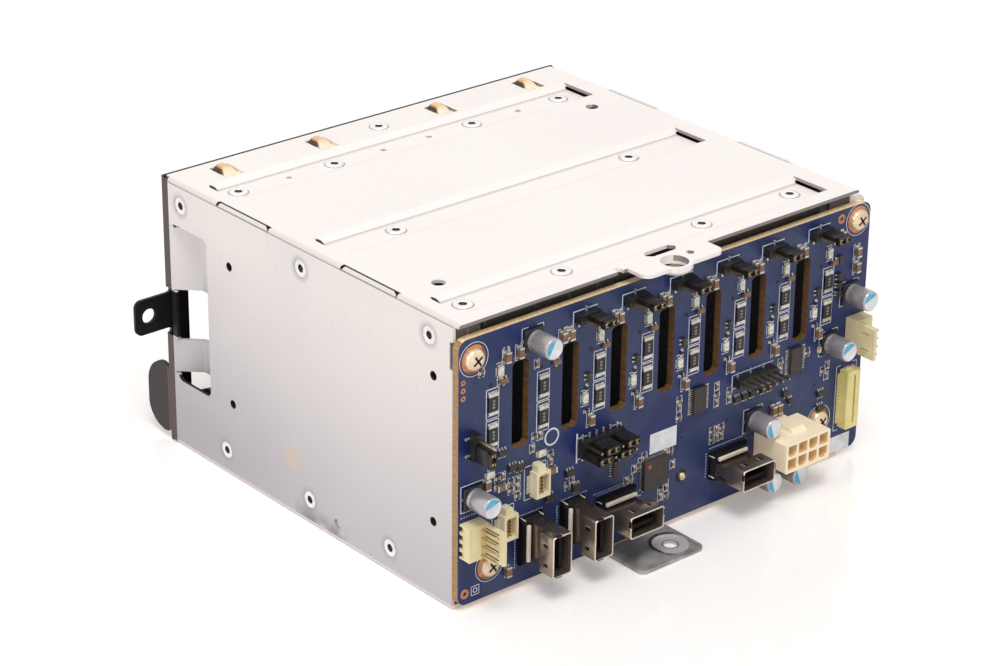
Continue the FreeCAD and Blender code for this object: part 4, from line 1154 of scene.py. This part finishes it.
def jumper(node, body):
    """Two way cap: softened body, open mouth with two bright contact springs."""
    low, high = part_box(node)
    b = Build()
    b.block(low, Vector((high.x, high.y - 0.9 * MM, high.z)), 0, 0.28 * MM)
    long_axis = 0 if high.x - low.x > high.z - low.z else 2
    short_axis = 2 - long_axis
    wall = 0.5 * MM
    for axis in (long_axis, short_axis):
        for side in (0, 1):
            first, second = low.copy(), high.copy()
            first.y = high.y - 1.5 * MM
            if side:
                first[axis] = high[axis] - wall
            else:
                second[axis] = low[axis] + wall
            b.block(first, second, 0, 0.16 * MM)
    middle = (low + high) / 2

    def contact(along, half_long, offset, half_short, top, bevel):
        first, second = Vector((0, high.y - 1.2 * MM, 0)), Vector((0, high.y - top * MM, 0))
        for axis, at, half in ((long_axis, middle[long_axis] + along * MM, half_long),
                               (short_axis, middle[short_axis] + offset * MM, half_short)):
            first[axis], second[axis] = at - half * MM, at + half * MM
        b.block(first, second, 1, bevel * MM)

    for side in (1, -1):
        for edge in (1, -1):
            contact(side * 1.27, 0.55, edge * 0.55, 0.09, 0.15, 0.04)
        contact(side * 1.27, 0.3, 0, 0.3, 0.5, 0.06)
    piece(node + "_shell", b, "cap gold", [node], body, 40)


def spring(number):
    """Contact leaf: flat foot, then a crown that runs down below the cover towards the board."""
    low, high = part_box("grounding_spring_%d" % number)
    thickness, crown, fall = 0.25 * MM, 3.1 * MM, 1.75 * MM
    tip = math.radians(24)
    across, along = 14, 12          # steps round the crown and along Y
    middle_x, middle_z = low.x + 6.2 * MM, high.z - crown
    foot_top = low.z + thickness
    start = math.pi - math.asin((foot_top - middle_z) / crown)
    b = Build()
    layers = []
    for thin in (0.0, thickness):
        rows = []
        for j in range(along + 1):
            y = low.y + (high.y - low.y) * j / along
            run = min(1.0, max(0.0, (j / along - 0.42) / 0.58))
            drop = fall * run * run * (3 - 2 * run)
            row = [b.mesh.verts.new((low.x, y, foot_top - thin))]
            for k in range(across + 1):
                turn = start + (tip - start) * k / across
                z = middle_z + (crown - thin) * math.sin(turn)
                tip_z = middle_z + (crown - thin) * math.sin(tip)
                z = max(z - drop * math.sin(math.pi * k / across) ** 0.5, min(z, tip_z))
                row.append(b.mesh.verts.new((middle_x + (crown - thin) * math.cos(turn), y, z)))
            rows.append(row)
        layers.append(rows)
    upper, lower = layers
    for rows in layers:
        for first, second in zip(rows, rows[1:]):
            for k in range(len(first) - 1):
                b.mesh.faces.new((first[k], first[k + 1], second[k + 1], second[k]))
    for j in (0, along):
        for k in range(across + 1):
            b.mesh.faces.new((upper[j][k], upper[j][k + 1], lower[j][k + 1], lower[j][k]))
    for k in (0, across + 1):
        for j in range(along):
            b.mesh.faces.new((upper[j][k], upper[j + 1][k], lower[j + 1][k], lower[j][k]))
    piece("spring_leaf_%d" % number, b, "leaf", ["grounding_spring_%d" % number],
          "spring_%d" % number, 50)


def details():
    for number in range(1, 5):
        spring(number)
    board_print()
    board_copper()
    small_parts()
    logic_chips()
    cans()
    fasteners()
    for number in range(1, 5):
        port(number)
    fan_details()
    header_feet()
    for number in range(1, 8):
        jumper("jumper_cap_%d" % number, "jumper_%d" % number)
    for number in range(1, 5):
        jumper("config_cap_%d" % number, "config_jumper_%d" % number)


# ---- camera, floor, light ------------------------------------------------------
def place_camera():
    data = bpy.data.cameras.new("camera")
    data.lens = 108.71
    data.sensor_width = 36.0
    data.clip_end = 20
    camera = bpy.data.objects.new("camera", data)
    bpy.context.scene.collection.objects.link(camera)
    right = Vector((-0.76263, 0.64675, 0.00982))
    up = Vector((-0.26504, -0.32632, 0.90732))
    back = right.cross(up)
    stand = V(524.98, 609.74, 409.93)
    camera.matrix_world = Matrix.Translation(stand) @ Matrix((right, up, back)).transposed().to_4x4()
    bpy.context.scene.camera = camera


def backdrop_shader(tree, color, strength):
    """White to the camera and in reflections, plain light to everything else."""
    path = add_node(tree, "ShaderNodeLightPath").outputs
    seen = path["Is Camera Ray"]
    for ray in ("Is Glossy Ray", "Is Transmission Ray"):
        seen = add_node(tree, "ShaderNodeMath", seen, path[ray], operation="MAXIMUM").outputs[0]
    plain = add_node(tree, "ShaderNodeBackground", color, strength).outputs[0]
    white = add_node(tree, "ShaderNodeBackground", (1, 1, 1, 1), 1.0).outputs[0]
    mix = add_node(tree, "ShaderNodeMixShader", seen, plain, white).outputs[0]
    tree.links.new(mix, tree.nodes["World Output"].inputs["Surface"])


def light(name, place, target, size, power):
    data = bpy.data.lights.new(name, "AREA")
    data.shape = "DISK"
    data.size = size
    data.energy = power
    lamp = bpy.data.objects.new(name, data)
    bpy.context.scene.collection.objects.link(lamp)
    lamp.location = place
    lamp.rotation_euler = (target - place).to_track_quat("-Z", "Y").to_euler()


def studio():
    scene = bpy.context.scene
    scene.view_settings.view_transform = "Standard"
    world = bpy.data.worlds.new("studio")
    world.use_nodes = True
    for node in list(world.node_tree.nodes):
        if node.type == "BACKGROUND":
            world.node_tree.nodes.remove(node)
    backdrop_shader(world.node_tree, srgb(255, 252, 249), 0.55)
    scene.world = world

    mesh = bpy.data.meshes.new("floor")
    reach = 3.0
    mesh.from_pydata([(-reach, -reach, 0), (reach, -reach, 0), (reach, reach, 0), (-reach, reach, 0)],
                     [], [(0, 1, 2, 3)])
    floor = bpy.data.objects.new("floor", mesh)
    floor.location.z = -0.0003
    scene.collection.objects.link(floor)
    s = Shade("floor_white", (250, 247, 246), rough=0.14, specular=0.55)
    s.bump(s.noise(0.03, 2.0), 0.02, 0.001)
    path = s.add("ShaderNodeLightPath").outputs["Is Camera Ray"]
    s.set("Emission Color", srgb(255, 250, 248))
    s.feed(s.math("MULTIPLY", path, 0.2), s.shader.inputs["Emission Strength"])
    floor.data.materials.append(s.mat)

    middle = V(0, 0, 40)
    light("key", Vector((0.62, 0.85, 2.15)), middle, 0.95, 24.5)
    light("fill", Vector((1.4, 0.1, 0.8)), middle, 0.9, 4.0)


dress_cad()
details()
place_camera()
studio()
